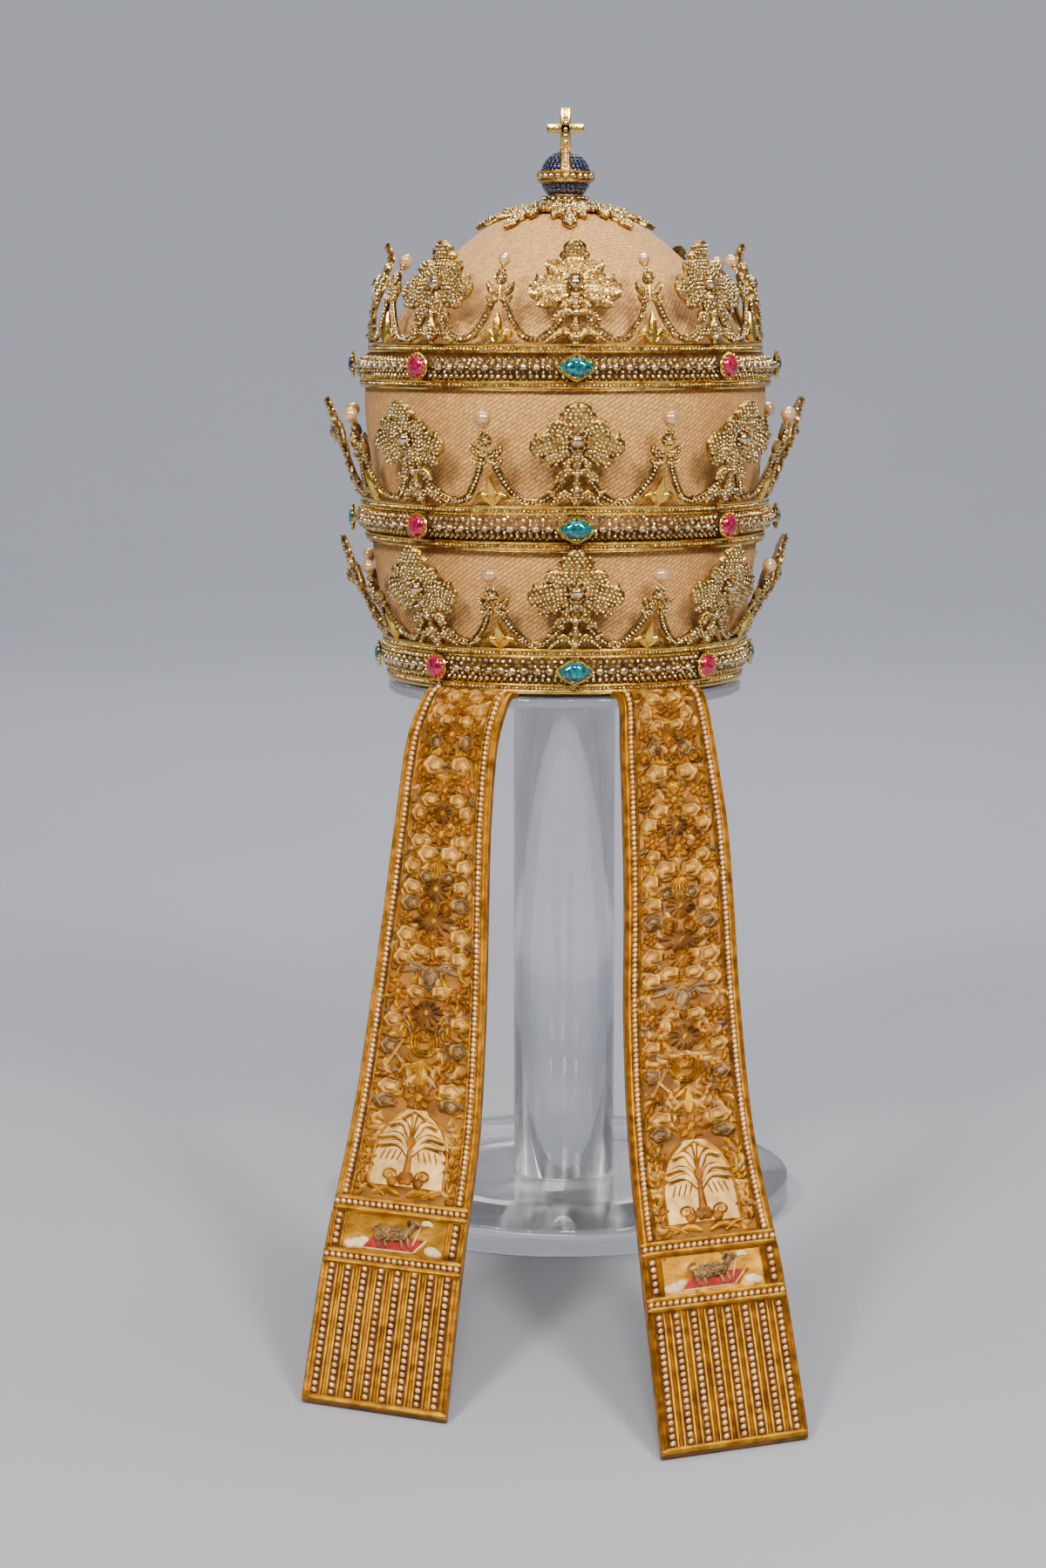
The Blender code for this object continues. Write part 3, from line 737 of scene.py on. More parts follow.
def outline_reach(turn: Array, power: float) -> Array:
    """Returns how far a stone's outline reaches at each angle: power 2 for an ellipse, less for a lozenge."""
    return 1 / (np.abs(np.cos(turn)) ** power + np.abs(np.sin(turn)) ** power) ** (1 / power)


def cut_stone(sides: int, tiers: Rows, across: float = 1.0, up: float = 1.0, power: float = 2.0) -> Mesh:
    """Makes the visible part of a cut stone.

    Args:
        sides: How many corners its outline has.
        tiers: The scale and height of each ring, from the setting up to the table.
        across: Half its width.
        up: Half its height.
        power: 2 for an ellipse, less for a lozenge.

    Returns:
        The points and triangles.
    """
    rings, faces = [], []
    corner = np.arange(sides)
    for number, (scale, out) in enumerate(tiers):
        turn = around(sides) + (number % 2) * math.pi / sides
        reach = scale * outline_reach(turn, power)
        rings.append(raised(oval(turn, across * reach, up * reach), out))
    for number in range(len(tiers) - 1):
        shift = number % 2
        low, low_after = (number * sides + (corner + step) % sides for step in (0, 1))
        high, high_after = ((number + 1) * sides + (corner + step + shift) % sides for step in (0, 1))
        faces.append(np.stack([low, low_after, high, high], -1))
        faces.append(np.stack([low_after, high_after, high, high], -1))
    points = np.vstack(rings + [[[0.0, 0.0, tiers[-1][1]]]])
    top = (len(tiers) - 1) * sides + corner
    middle = np.full(sides, len(points) - 1)
    faces.append(np.stack([top, np.roll(top, -1), middle, middle], -1))
    return points, np.vstack(faces)


SMALL_STONE = cut_stone(5, ((1.0, -0.25), (0.55, 0.62)))
FINE_STONE = cut_stone(8, ((1.0, -0.3), (0.82, 0.28), (0.52, 0.55)))
GRAIN = cut_stone(5, ((1.0, -0.5), (0.6, 0.8)))
BEAD_BALL = ball(7, 4)
SEED_BALL = ball(5, 3)


def scatter(template: Mesh, centres: Array, sizes: float | Array, seed: int = 1, tilt: float = 0.14) -> Mesh:
    """Sets copies of a shape at many places, each spun and a little tilted.

    Args:
        template: The shape at the origin.
        centres: Where the copies go.
        sizes: Their scale, one or one each.
        seed: The seed of their spins.
        tilt: How far they lean.

    Returns:
        The points and faces of them all.
    """
    points, faces = template
    count = len(centres)
    random = np.random.default_rng(seed)
    spin = random.uniform(0, FULL, count)[:, None]
    lean = random.normal(0, tilt, (2, count, 1))
    x = points[:, 0] * np.cos(spin) - points[:, 1] * np.sin(spin)
    y = points[:, 0] * np.sin(spin) + points[:, 1] * np.cos(spin)
    z = points[:, 2] + lean[0] * x + lean[1] * y
    placed = np.stack([x, y, z], axis=-1) * np.broadcast_to(sizes, count)[:, None, None] + centres[:, None]
    offsets = (np.arange(count) * len(points))[:, None, None]
    return placed.reshape(-1, 3), (faces[None] + offsets).reshape(-1, 4)


def wire_ring(radius: float, height: float, thick: float, count: int = 180) -> Mesh:
    """Makes a level wire round the axis."""
    return tube(about_axis(radius, around(count), height), thick, closed=True)


@dataclass(frozen=True)
class Place:
    """Where a motif stands on its ground, in mm, and how it is turned."""

    across: float = 0.0
    up: float = 0.0
    turn: float = 0.0
    size: float = 1.0
    flip: bool = False

    def points(self, rows: Rows) -> Array:
        """Puts a motif's own points on the ground.

        Args:
            rows: The points across and up.

        Returns:
            The points on the ground.
        """
        x, y = np.asarray(rows, float).T[:2] * self.size
        x = -x if self.flip else x
        cos, sin = math.cos(self.turn), math.sin(self.turn)
        return np.column_stack([self.across + x * cos - y * sin, self.up + x * sin + y * cos])

    def shifted(self, across: float, up: float, **changes: object) -> "Place":
        """Returns a place so far across and up from this one, with other changes."""
        return replace(self, across=self.across + across, up=self.up + up, **changes)


@dataclass
class Leaf:
    """A raised leaf: its spine and half widths on flat ground, and how far it rises, in mm."""

    FINE = 60
    EDGE_POINTS = 24

    spine: Rows
    widths: Sequence[float]
    rise: float
    base: float = 0.0
    under: float = -0.9
    scallops: int = 0
    vein: float = 0.0
    curl: float = 0.0
    steps: int = 12
    sides: int = 6

    def __post_init__(self) -> None:
        """Draws the spine finely, with its normals and widths."""
        self.line = smooth_line(self.spine, self.FINE)
        tangent = unit(np.gradient(self.line, axis=0))
        self.normal = np.column_stack([-tangent[:, 1], tangent[:, 0]])
        self.shares = np.linspace(0, 1, self.FINE)
        half = np.interp(self.shares, np.linspace(0, 1, len(self.widths)), self.widths)
        self.half = np.convolve(np.pad(half, 3, mode="edge"), np.ones(7) / 7, "valid")
        if self.scallops:
            self.half = self.half * (0.7 + 0.38 * np.abs(np.sin(math.pi * self.scallops * self.shares)))

    def surface(self, share: Array, across: Array) -> Array:
        """Returns points on the leaf's face.

        Args:
            share: How far along, from 0 to 1.
            across: How far across, from -1 to 1.

        Returns:
            The points.
        """
        line, normal = (
            np.stack([np.interp(share, self.shares, part) for part in source.T], -1)
            for source in (self.line, self.normal)
        )
        half = np.interp(share, self.shares, self.half)
        crown = np.sqrt(np.clip(1 - across**2, 0, 1)) * np.sqrt(half / self.half.max())
        groove = self.vein * np.exp(-((across / 0.16) ** 2))
        out = self.base + self.rise * crown - groove + self.curl * share**3
        return np.concatenate([line + normal * (half * across)[..., None], out[..., None]], axis=-1)

    def mesh(self) -> Mesh:
        """Makes the whole leaf with its back.

        Returns:
            The points and faces.
        """
        along, over = np.linspace(0, 1, self.steps), np.linspace(-1, 1, self.sides + 1)
        share, across = np.meshgrid(along, over, indexing="ij")
        face = self.surface(share, across)
        back = face[:, [-1, 0]].copy()
        back[..., 2] = self.under + self.curl * share[:, :2] ** 3
        return loft(np.concatenate([face, back], axis=1))

    def edge(self, side: int, inset: float = 1.0) -> Array:
        """Draws a line along one edge, for a cord.

        Args:
            side: 1 or -1.
            inset: How near the edge it runs, from 0 to 1.

        Returns:
            Its points.
        """
        share = np.linspace(0.0, 1.0, self.EDGE_POINTS)
        points = self.surface(share, np.full(self.EDGE_POINTS, side * inset))
        points[:, 2] += 0.15
        return points

    def studs(self, pitch: float) -> Array:
        """Spreads small stones close over the leaf.

        Args:
            pitch: The distance between two stones.

        Returns:
            Their centres.
        """
        margin, rows = pitch * 0.32, []
        length = lengths_along(self.line)[-1]
        for number, along in enumerate(np.arange(pitch * 0.5, length, pitch * 0.88)):
            half = float(np.interp(along / length, self.shares, self.half)) - margin
            places = int(2 * half / pitch) + 1 if half > 0 else 1
            if places > 1 and number % 2:
                places -= 1
            for offset in (np.arange(places) - (places - 1) / 2) * pitch:
                rows.append((along / length, offset / (half + margin)))
        share, across = np.array(rows).T
        return self.surface(share, np.clip(across, -0.92, 0.92))

    def add_set(self, flat: Batch, pitch: float, size: float, seed: int) -> None:
        """Adds the leaf in gold, set with small stones."""
        flat.add(Finish.LEAF, self.mesh())
        flat.stones(Finish.PAVE, SMALL_STONE, self.studs(pitch), size, seed)


class Surface:
    """A surface round the axis that flat work is bent on: radius and height at each length, in mm."""

    REACH = 16.0
    FINE = 400
    BLUR = 12
    HALF_STEP = 1.5

    def __init__(self, knots: Rows, reference: float | None, angle: float = 0.0, sunk: float = 0.0) -> None:
        """Draws the line.

        Args:
            knots: Radius and height of each knot.
            reference: The radius at which work is measured round the axis, or None for work laid straight.
            angle: Where the middle of the work is, from the front.
            sunk: The length of the first stretch, which isn't counted.
        """
        knots = np.asarray(knots, float)
        if sunk:
            knots = np.vstack([[knots[0, 0], knots[0, 1] - sunk], knots])
        lengths = lengths_along(knots) - sunk
        first, last = unit(np.array([knots[1] - knots[0], knots[-1] - knots[-2]]))
        self.knots = np.vstack([knots[0] - first * self.REACH, knots, knots[-1] + last * self.REACH])
        self.size = float(lengths[-1])
        self.knot_lengths = np.concatenate([[lengths[0] - self.REACH], lengths, [self.size + self.REACH]])
        self.lengths = np.linspace(self.knot_lengths[0], self.knot_lengths[-1], self.FINE)
        spread = np.exp(-(np.linspace(-2, 2, 2 * self.BLUR + 1) ** 2))
        straight = (np.interp(self.lengths, self.knot_lengths, part) for part in self.knots.T)
        padded = (np.pad(part, self.BLUR, "reflect", reflect_type="odd") for part in straight)
        self.radii, self.heights = (np.convolve(part, spread / spread.sum(), "valid") for part in padded)
        self.reference, self.angle = reference, angle

    def at(self, angle: float) -> "Surface":
        """Turns the work's middle to another angle.

        Args:
            angle: The new angle.

        Returns:
            The same surface, with its own angle.
        """
        other = object.__new__(Surface)
        other.__dict__.update(self.__dict__, angle=angle)
        return other

    def along_at(self, height: float) -> float:
        """Returns the length at which the line has a height."""
        return float(np.interp(height, self.knots[:, 1], self.knot_lengths))

    def reading(self, along: Array, values: Array) -> tuple[Array, Array]:
        """Reads values of the line.

        Args:
            along: The lengths that they are read at.
            values: Its radii or its heights.

        Returns:
            The values at each length, and how they rise there.
        """
        steps = (-self.HALF_STEP, 0.0, self.HALF_STEP)
        before, here, after = (np.interp(along + step, self.lengths, values) for step in steps)
        return here, after - before

    def lay(self, flat: Array) -> Array:
        """Bends flat points on to the surface.

        Args:
            flat: Points across, along and out, in mm.

        Returns:
            The points in metres.
        """
        side, along, out = flat.T
        radius, rise_r = self.reading(along, self.radii)
        height, rise_z = self.reading(along, self.heights)
        length = np.maximum(np.hypot(rise_r, rise_z), 1e-6)
        radius, height = radius + rise_z / length * out, height - rise_r / length * out
        if self.reference:
            points = about_axis(radius, self.angle + side / self.reference, height)
        else:
            cos, sin = math.cos(self.angle), math.sin(self.angle)
            points = row(radius * sin + side * cos, -radius * cos + side * sin, height)
        return points * MM + (0, 0, RIM_Z)


@dataclass
class Cap:
    """The domed cloth cap and the lining inside its rim."""

    profile: Rows = (
        (96.2, 0.0), (97.6, 20.0), (103.0, 45.0), (106.8, 76.0), (106.4, 101.0), (110.7, 156.0),
        (103.5, 178.0), (88.0, 203.0), (69.0, 225.0), (47.0, 244.0), (30.0, 252.5), (0.0, 260.0),
    )
    thick: float = 2.4
    rings: int = 84
    segments: int = 112
    lining: Rows = ((92.9, 16.0), (92.9, -2.2), (92.4, -2.7), (90.7, -2.7), (90.2, -2.2), (90.2, 16.0))
    lining_segments: int = 128

    def shell(self) -> Mesh:
        """Makes the cap with a soft unevenness in its cloth.

        Returns:
            The points and faces.
        """
        line = smooth_line(self.profile, self.rings)
        line[:, 0] = np.maximum(line[:, 0], AXIS_HOLE)
        tangent = unit(np.gradient(line, axis=0))
        inner = (line - np.column_stack([tangent[:, 1], -tangent[:, 0]]) * self.thick)[::3][::-1]
        inner[:, 0] = np.maximum(inner[:, 0], AXIS_HOLE)
        points, faces = lathe(np.vstack([line, inner]), self.segments)
        turn, height = np.arctan2(points[:, 0], -points[:, 1]), points[:, 2]
        ripple = np.sin(turn * 5 + height * 0.05) * np.sin(height * 0.11 + 1)
        ripple = ripple + 0.6 * np.sin(turn * 11 - height * 0.09)
        fade = np.clip((250 - height) / 60, 0, 1) * np.clip(height / 20, 0, 1)
        points[:, :2] *= (1 + 0.0022 * ripple * fade)[:, None]
        return points, faces

    def build(self, bench: Bench) -> None:
        """Makes the cap and its lining.

        Args:
            bench: Where they are made.
        """
        lining = lathe(self.lining, self.lining_segments)
        for name, finish, shape, node in (
            ("cap", Finish.CLOTH, self.shell(), "cap"),
            ("headband", Finish.LINING, lining, "headband_lining"),
        ):
            batch = Batch()
            batch.add(finish, upright(shape))
            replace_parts(batch.pieces(name, bench)[finish], node)


class Stone(Enum):
    """The coloured stones: finish, half sizes, power of the outline, corners and claws' spacing."""

    EMERALD = (Finish.EMERALD, 9.6, 6.2, 1.22, 12, 4)
    SAPPHIRE = (Finish.SAPPHIRE, 9.6, 6.2, 1.23, 12, 4)
    RUBY = (Finish.RUBY, 6.3, 6.3, 2.0, 16, 3)

    def __init__(
        self, finish: Finish, across: float, up: float, power: float, sides: int, claws: int
    ) -> None:
        """Names the parts of the value."""
        self.finish, self.across, self.up = finish, across, up
        self.power, self.sides, self.claws = power, sides, claws


BAND_ROWS = (
    (Finish.BRILLIANT, FINE_STONE, 0.0, 2.6, 7.0, 0.0, 2.9),
    (Finish.PAVE, SMALL_STONE, 0.0, 1.0, 7.0, 0.5, 1.6),
    (Finish.PAVE, SMALL_STONE, 3.0, 1.2, 7.0, 0.5, 1.8),
    (Finish.PAVE, SMALL_STONE, 5.4, 1.4, 3.5, 0.0, 1.4),
    (Finish.POLISHED, GRAIN, 2.9, 0.62, 3.5, 0.0, 1.3),
    (Finish.POLISHED, GRAIN, 7.0, 0.62, 3.5, 0.5, 1.3),
)
MIDDLE_LEAVES = (
    (((0, 36), (0, 45), (0, 53), (0, 59.0)), (4.4, 6.8, 8.6, 8.4, 3.0), 2.6, 4, 0.4),
    (((0, 34), (0, 28), (0, 22)), (4.4, 4.2, 2.2), 1.9, 0, 0.0),
    (((0, 22), (0, 12), (0, 0)), (2.2, 1.7, 2.6), 1.2, 0, 0.0),
    (((0, 4.5), (0, 9.5), (0, 14)), (1.6, 3.6, 1.4), 1.9, 0, 0.6),
)
SIDE_LEAVES = (
    (((1.5, 36), (7, 40.6), (15.4, 44.8)), (3.4, 5.8, 6.2, 2.4), 2.2, 3, 1.6),
    (((2, 33), (9, 32.6), (16.5, 31.4), (24.4, 28.2)), (4, 6.6, 8.4, 8.0, 3.0), 2.6, 5, 1.8),
    (((4, 28), (11, 25.8), (19.6, 21.4)), (2.6, 4.6, 4.8, 1.8), 2.0, 3, 1.4),
    (((1.5, 24.6), (4.2, 23.4), (7.4, 20.6)), (1.4, 2.5, 2.4, 1.0), 1.7, 0, 0.8),
    (((1, 17.4), (6.4, 17.6), (12.6, 13.2)), (1.6, 3.0, 2.8, 0.8), 1.7, 2, 1.2),
    (((1.4, 2.6), (6, 7.4), (11, 4.4), (15.4, 0.9)), (1.6, 2.6, 2.3, 0.8), 1.5, 0, 0.4),
)


@dataclass
class Crown:
    """One crown: a band with two rim bars, eight leaf fleurons and eight pearl spikes. Sizes in mm."""

    DRAWN_CENTRE = 34.0
    DRAWN_TOP = 58.0
    DRAWN_PEARL = 40.0
    SEGMENTS = 180
    SEAT = 8.0

    name: str
    bottom: float
    low: float
    bulge: float
    high: float
    inner_low: float
    inner_high: float
    lean: Rows
    spread: float
    pearl_height: float
    pearl: float
    diamond: float
    diamond_place: float
    side_stone: Stone = Stone.EMERALD
    band: float = 24.0
    bar: float = 5.0
    metal: Batch = field(default_factory=Batch)

    def __post_init__(self) -> None:
        """Draws the surfaces of the band and of the crest."""
        self.top, self.middle = self.bottom + self.band, self.bottom + self.band / 2
        self.crest = Surface(self.lean, self.lean[0][0], sunk=4.0)
        edges = (self.low, self.bottom + self.bar), (self.high, self.top - self.bar)
        self.rows = (edges[0], (self.bulge, self.middle), edges[1])
        self.wall = Surface(self.rows, self.bulge)

    def stones(self) -> list[tuple[float, Stone]]:
        """Lists the coloured stones.

        Returns:
            Each stone with its angle.
        """
        found = []
        for i in range(PER_CROWN):
            stone = Stone.RUBY if i % 2 else self.side_stone if i % 4 == 2 else Stone.EMERALD
            found.append((CROWN_TURN + FULL * i / PER_CROWN, stone))
        return found

    def free(self, along: Array, up: float, margin: float) -> Array:
        """Tells which places round the wall aren't taken by a coloured stone.

        Args:
            along: The places, measured round the wall.
            up: Their height from the wall's middle.
            margin: The room that is left round a stone.

        Returns:
            True for each free place.
        """
        keep = np.ones(len(along), bool)
        for angle, stone in self.stones():
            gap = (along / self.bulge - angle + math.pi) % FULL - math.pi
            x, y = np.abs(gap) * self.bulge / (stone.across + margin), abs(up) / (stone.up + margin)
            keep &= (x**stone.power + y**stone.power) > 1
        return keep

    def add_rim(self, radius: float, edge: float, inward: int) -> None:
        """Adds a rim bar: two wires with a row of small stones between them.

        Args:
            radius: Its radius.
            edge: The height of the band's edge.
            inward: 1 where the band is above the edge, or -1.
        """
        for offset, thick in ((0.95, 0.95), (4.35, 0.75)):
            wire = wire_ring(radius - thick * 0.9, edge + inward * offset, thick)
            self.metal.add(Finish.POLISHED, upright(wire))
        count = int(FULL * radius / 2.15)
        flat, height = Batch(), edge + inward * 2.7
        centres = row(np.arange(count) * FULL / count * radius, 5.0, -0.55)
        flat.stones(Finish.PAVE, SMALL_STONE, centres, 1.0, 3)
        self.metal.lay(flat, Surface(((radius, height - 5), (radius, height + 5)), radius).lay)

    def add_band(self) -> None:
        """Adds the band's body, its rim bars and its rows of stones."""
        high, low, top, bottom = self.high, self.low, self.top, self.bottom
        section = (
            (high - 0.4, top), (high - 0.9, top - 1.2), (high - 0.9, top - 4.0), (high - 0.3, top - 5.0),
            *((radius - 1.3, height) for radius, height in reversed(self.rows)),
            (low - 0.3, bottom + 5.0), (low - 0.9, bottom + 4.0), (low - 0.9, bottom + 1.2),
            (low - 0.4, bottom), (self.inner_low, bottom), (self.inner_high, top),
        )
        self.metal.add(Finish.LEAF, upright(lathe(section, self.SEGMENTS)))
        # A dark gold skin just under the wall: painted shade that shows in the gaps between the rows of
        # stones.
        ground = [(r - 0.75, h) for r, h in self.rows] + [(r - 1.9, h) for r, h in reversed(self.rows)]
        self.metal.add(Finish.SHADE, upright(lathe(ground, self.SEGMENTS)))
        self.add_rim(low, bottom, 1)
        self.add_rim(high, top, -1)
        flat = Batch()
        along = self.wall.along_at(self.middle)
        for finish, template, height, size, pitch, start, margin in BAND_ROWS:
            for up in (height, -height) if height else (0.0,):
                count = PER_CROWN * round(FULL * self.bulge / pitch / PER_CROWN)
                places = (np.arange(count) + start) * FULL * self.bulge / count + CROWN_TURN * self.bulge
                places = places[self.free(places, up, margin)]
                flat.stones(finish, template, row(places, along + up, -0.3), size, 20 + int(up))
        self.metal.lay(flat, self.wall.lay)

    def add_settings(self, bench: Bench) -> None:
        """Makes the coloured stones, and adds their bezels and claws.

        Args:
            bench: Where they are made.
        """
        counts: dict[Stone, int] = {}
        ends = ((self.bulge, self.middle - self.SEAT), (self.bulge, self.middle + self.SEAT))
        seat = Surface(ends, self.bulge)
        middle = np.array((0, self.SEAT))
        for angle, stone in self.stones():
            lay = seat.at(angle).lay
            counts[stone] = counts.get(stone, 0) + 1
            node = f"{self.name}_{stone.name.lower()}_{counts[stone]}"
            tiers = ((1.0, 0.6), (0.9, 1.5), (0.72, 2.7), (0.46, 3.4))
            points, faces = cut_stone(stone.sides, tiers, stone.across, stone.up, stone.power)
            laid = Batch()
            laid.add(stone.finish, (lay(points + (*middle, 0)), faces), False)
            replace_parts(laid.pieces(node, bench)[stone.finish], node)
            turn = around(48)
            reach = outline_reach(turn, stone.power)
            outline = oval(turn, reach * (stone.across + 0.45), reach * (stone.up + 0.45))
            flat = Batch()
            flat.add(Finish.POLISHED, tube(raised(middle + outline, 0.5), 0.75, closed=True))
            claws = raised(middle + outline * 0.97, 1.3)[:: stone.claws]
            flat.add(Finish.POLISHED, scatter(GRAIN, claws, 0.85))
            self.metal.lay(flat, lay)

    def fleuron(self) -> Batch:
        """Draws one leaf fleuron in the flat and fits it to its crown.

        Returns:
            The flat work.
        """
        flat = Batch()
        centre, size = self.crest.size * self.diamond_place, self.crest.size
        drawn, above = self.DRAWN_CENTRE, self.DRAWN_TOP - self.DRAWN_CENTRE

        def fitted(x: float, y: float) -> tuple[float, float]:
            """Spreads and stretches a point of the leaf."""
            up = y * centre / drawn if y < drawn else centre + (y - drawn) * (size - centre) / above
            return x * self.spread, up

        leaves = [(1, *leaf) for leaf in MIDDLE_LEAVES]
        leaves += [(flip, *leaf) for flip in (1, -1) for leaf in SIDE_LEAVES]
        for number, (flip, spine, widths, rise, scallops, curl) in enumerate(leaves):
            leaf = Leaf(
                [fitted(flip * x, y) for x, y in spine], [w * (self.spread + 1) / 2 for w in widths], rise,
                0.1, -1.0, scallops, 0.3 if scallops else 0.0, curl, 3 * scallops + 4 if scallops else 6, 4,
            )
            leaf.add_set(flat, 2.25, 1.02, number)
        self.add_brilliant(flat, centre, self.diamond / 2, 2.3)
        for up in (25.4, 17.2, 9.6, 3.2):
            flat.stones(Finish.BRILLIANT, FINE_STONE, [(0, fitted(0, up)[1], 1.9)], 2.0)
        return flat

    def add_brilliant(self, flat: Batch, up: float, radius: float, base: float) -> None:
        """Adds a claw-set diamond over a cup painted dark as the shade round the stone.

        Args:
            flat: Where it is drawn.
            up: Its place up.
            radius: Its radius.
            base: The height of the ground under it.
        """
        centre, ring = np.array((0, up)), oval(around(24), 1.0, 1.0)
        tiers = ((radius + 0.4, -1.4), (radius + 0.9, 0.4), (radius + 0.1, 0.9))
        # The cup is painted dark, as shade round the stone.
        flat.add(Finish.SHADE, loft([raised(centre + ring * reach, base + out) for reach, out in tiers]))
        flat.stones(Finish.BRILLIANT, FINE_STONE, [(0, up, base + 1.5)], radius * 0.92, 2, 0.02)
        claws = raised(centre + ring[::3] * (radius + 0.2), base + 1.5)
        flat.add(Finish.POLISHED, scatter(GRAIN, claws, 0.85))

    def swag(self, flat: Batch, pitch: float, scale: float) -> None:
        """Adds the two branches that sweep from a fleuron's waist to the rim and up to the next spikes.

        Args:
            flat: Where they are drawn.
            pitch: The distance from a fleuron to a spike.
            scale: The spike's height over its drawing's.
        """
        knots = (
            (4.0, 19.5), (7.2, 12.0), (13.5, 5.2), (21.0, 2.0), (pitch - 15.0, 3.4),
            (pitch - 9.0, 9.5), (pitch - 4.6, 17.0), (pitch - 2.0, 25.0),
        )
        points = 30
        for flip in (1, -1):
            spine = [(flip * x, y * scale) for x, y in knots]
            widths = (1.5, 1.7, 1.7, 1.5, 1.7, 1.7, 1.2)
            strip = Leaf(spine, widths, 0.3, 0.4, -1.0, steps=points, sides=2)
            # The strip under the stones is painted dark, as the shade between them.
            flat.add(Finish.SHADE, strip.mesh())
            for side in (1, -1):
                line = smooth_line(strip.edge(side, 0.98), points)
                flat.add(Finish.LEAF, tube(line, 0.42, 4))
                if side == flip:
                    continue
                for share in (0.16, 0.3, 0.44, 0.58):
                    root = line[int(share * (points - 1)), :2]
                    bud = (root, root + (flip * 1.6, 2.2), root + (flip * 3.6, 3.2))
                    leaf = Leaf(bud, (0.6, 1.5, 1.3, 0.4), 1.1, 0.3, -0.9, steps=6, sides=4)
                    leaf.add_set(flat, 1.8, 0.82, 6)
            count = int(lengths_along(strip.line)[-1] / 2.05)
            flat.stones(Finish.PAVE, SMALL_STONE, raised(smooth_line(strip.line, count), 0.95), 1.08, 11)

    def spike(self, scale: float) -> Batch:
        """Draws one pearl spike in the flat.

        Args:
            scale: Its height up to the pearl over its drawing's.

        Returns:
            The flat work.
        """
        flat = Batch()
        pearl_at, radius = self.DRAWN_PEARL * scale, self.pearl / 2
        stem = np.array([(0, 22 * scale, 0.3), (0, 30 * scale, 0.6), (0, pearl_at, 0)])
        flat.add(Finish.POLISHED, tube(stem, 0.95, 8))
        points, faces = ball(20, 13)
        flat.add(Finish.PEARL, (points * radius + (0, pearl_at, 0), faces))
        points, faces = ball(12, 5)
        cup = points * (radius * 0.5, radius * 0.34, radius * 0.5) + (0, pearl_at - radius * 0.92, 0)
        flat.add(Finish.POLISHED, (cup, faces))
        self.add_brilliant(flat, pearl_at - radius - 7.6, 2.7, 1.0)
        knot = pearl_at - radius - 3.6
        for across, up in ((-1.5, 0.0), (1.5, 0.0), (0.0, 1.4)):
            flat.stones(Finish.BRILLIANT, SMALL_STONE, [(across, knot + up, 1.0)], 1.2)
        for flip in (1, -1):
            for spine, widths in (
                (((0.6, 23), (4.2, 24.5), (6.8, 28.6)), (1.2, 2.4, 2.0, 0.6)),
                (((0.8, 20.5), (4.0, 19.5), (6.6, 22.0)), (1.0, 1.8, 1.5, 0.5)),
            ):
                spine = [(flip * x * scale, y * scale) for x, y in spine]
                Leaf(spine, widths, 1.5, 0.1, -0.9, curl=1.6, steps=7, sides=4).add_set(flat, 1.9, 0.85, 5)
            spine = [(flip * x, y * scale) for x, y in ((0.8, 1.0), (4.6, 5.2), (9.4, 3.2))]
            leaf = Leaf(spine, (1.1, 2.5, 2.2, 0.6), 1.9, 0.2, -0.9, vein=0.5, steps=8)
            flat.add(Finish.POLISHED, leaf.mesh())
        spine = [(0, 0.4), (0, 7 * scale), (0, 14.5 * scale)]
        flat.add(Finish.POLISHED, Leaf(spine, (1.5, 2.8, 2.4, 0.5), 2.1, 0.2, -0.9, vein=0.5).mesh())
        return flat

    def build(self, bench: Bench) -> None:
        """Makes the whole crown.

        Args:
            bench: Where it is made.
        """
        self.add_band()
        self.add_settings(bench)
        scale = self.crest.along_at(self.pearl_height) / self.DRAWN_PEARL
        fleuron, spike = self.fleuron(), self.spike(scale)
        self.swag(fleuron, math.pi / PER_CROWN * self.lean[0][0], scale)
        for i in range(PER_CROWN):
            angle = CROWN_TURN + FULL * i / PER_CROWN
            self.metal.lay(fleuron, self.crest.at(angle).lay)
            self.metal.lay(spike, self.crest.at(angle + math.pi / PER_CROWN).lay)
        pieces = self.metal.pieces(f"crown_{self.name}", bench)
        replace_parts(pieces[Finish.LEAF], f"crown_{self.name}")


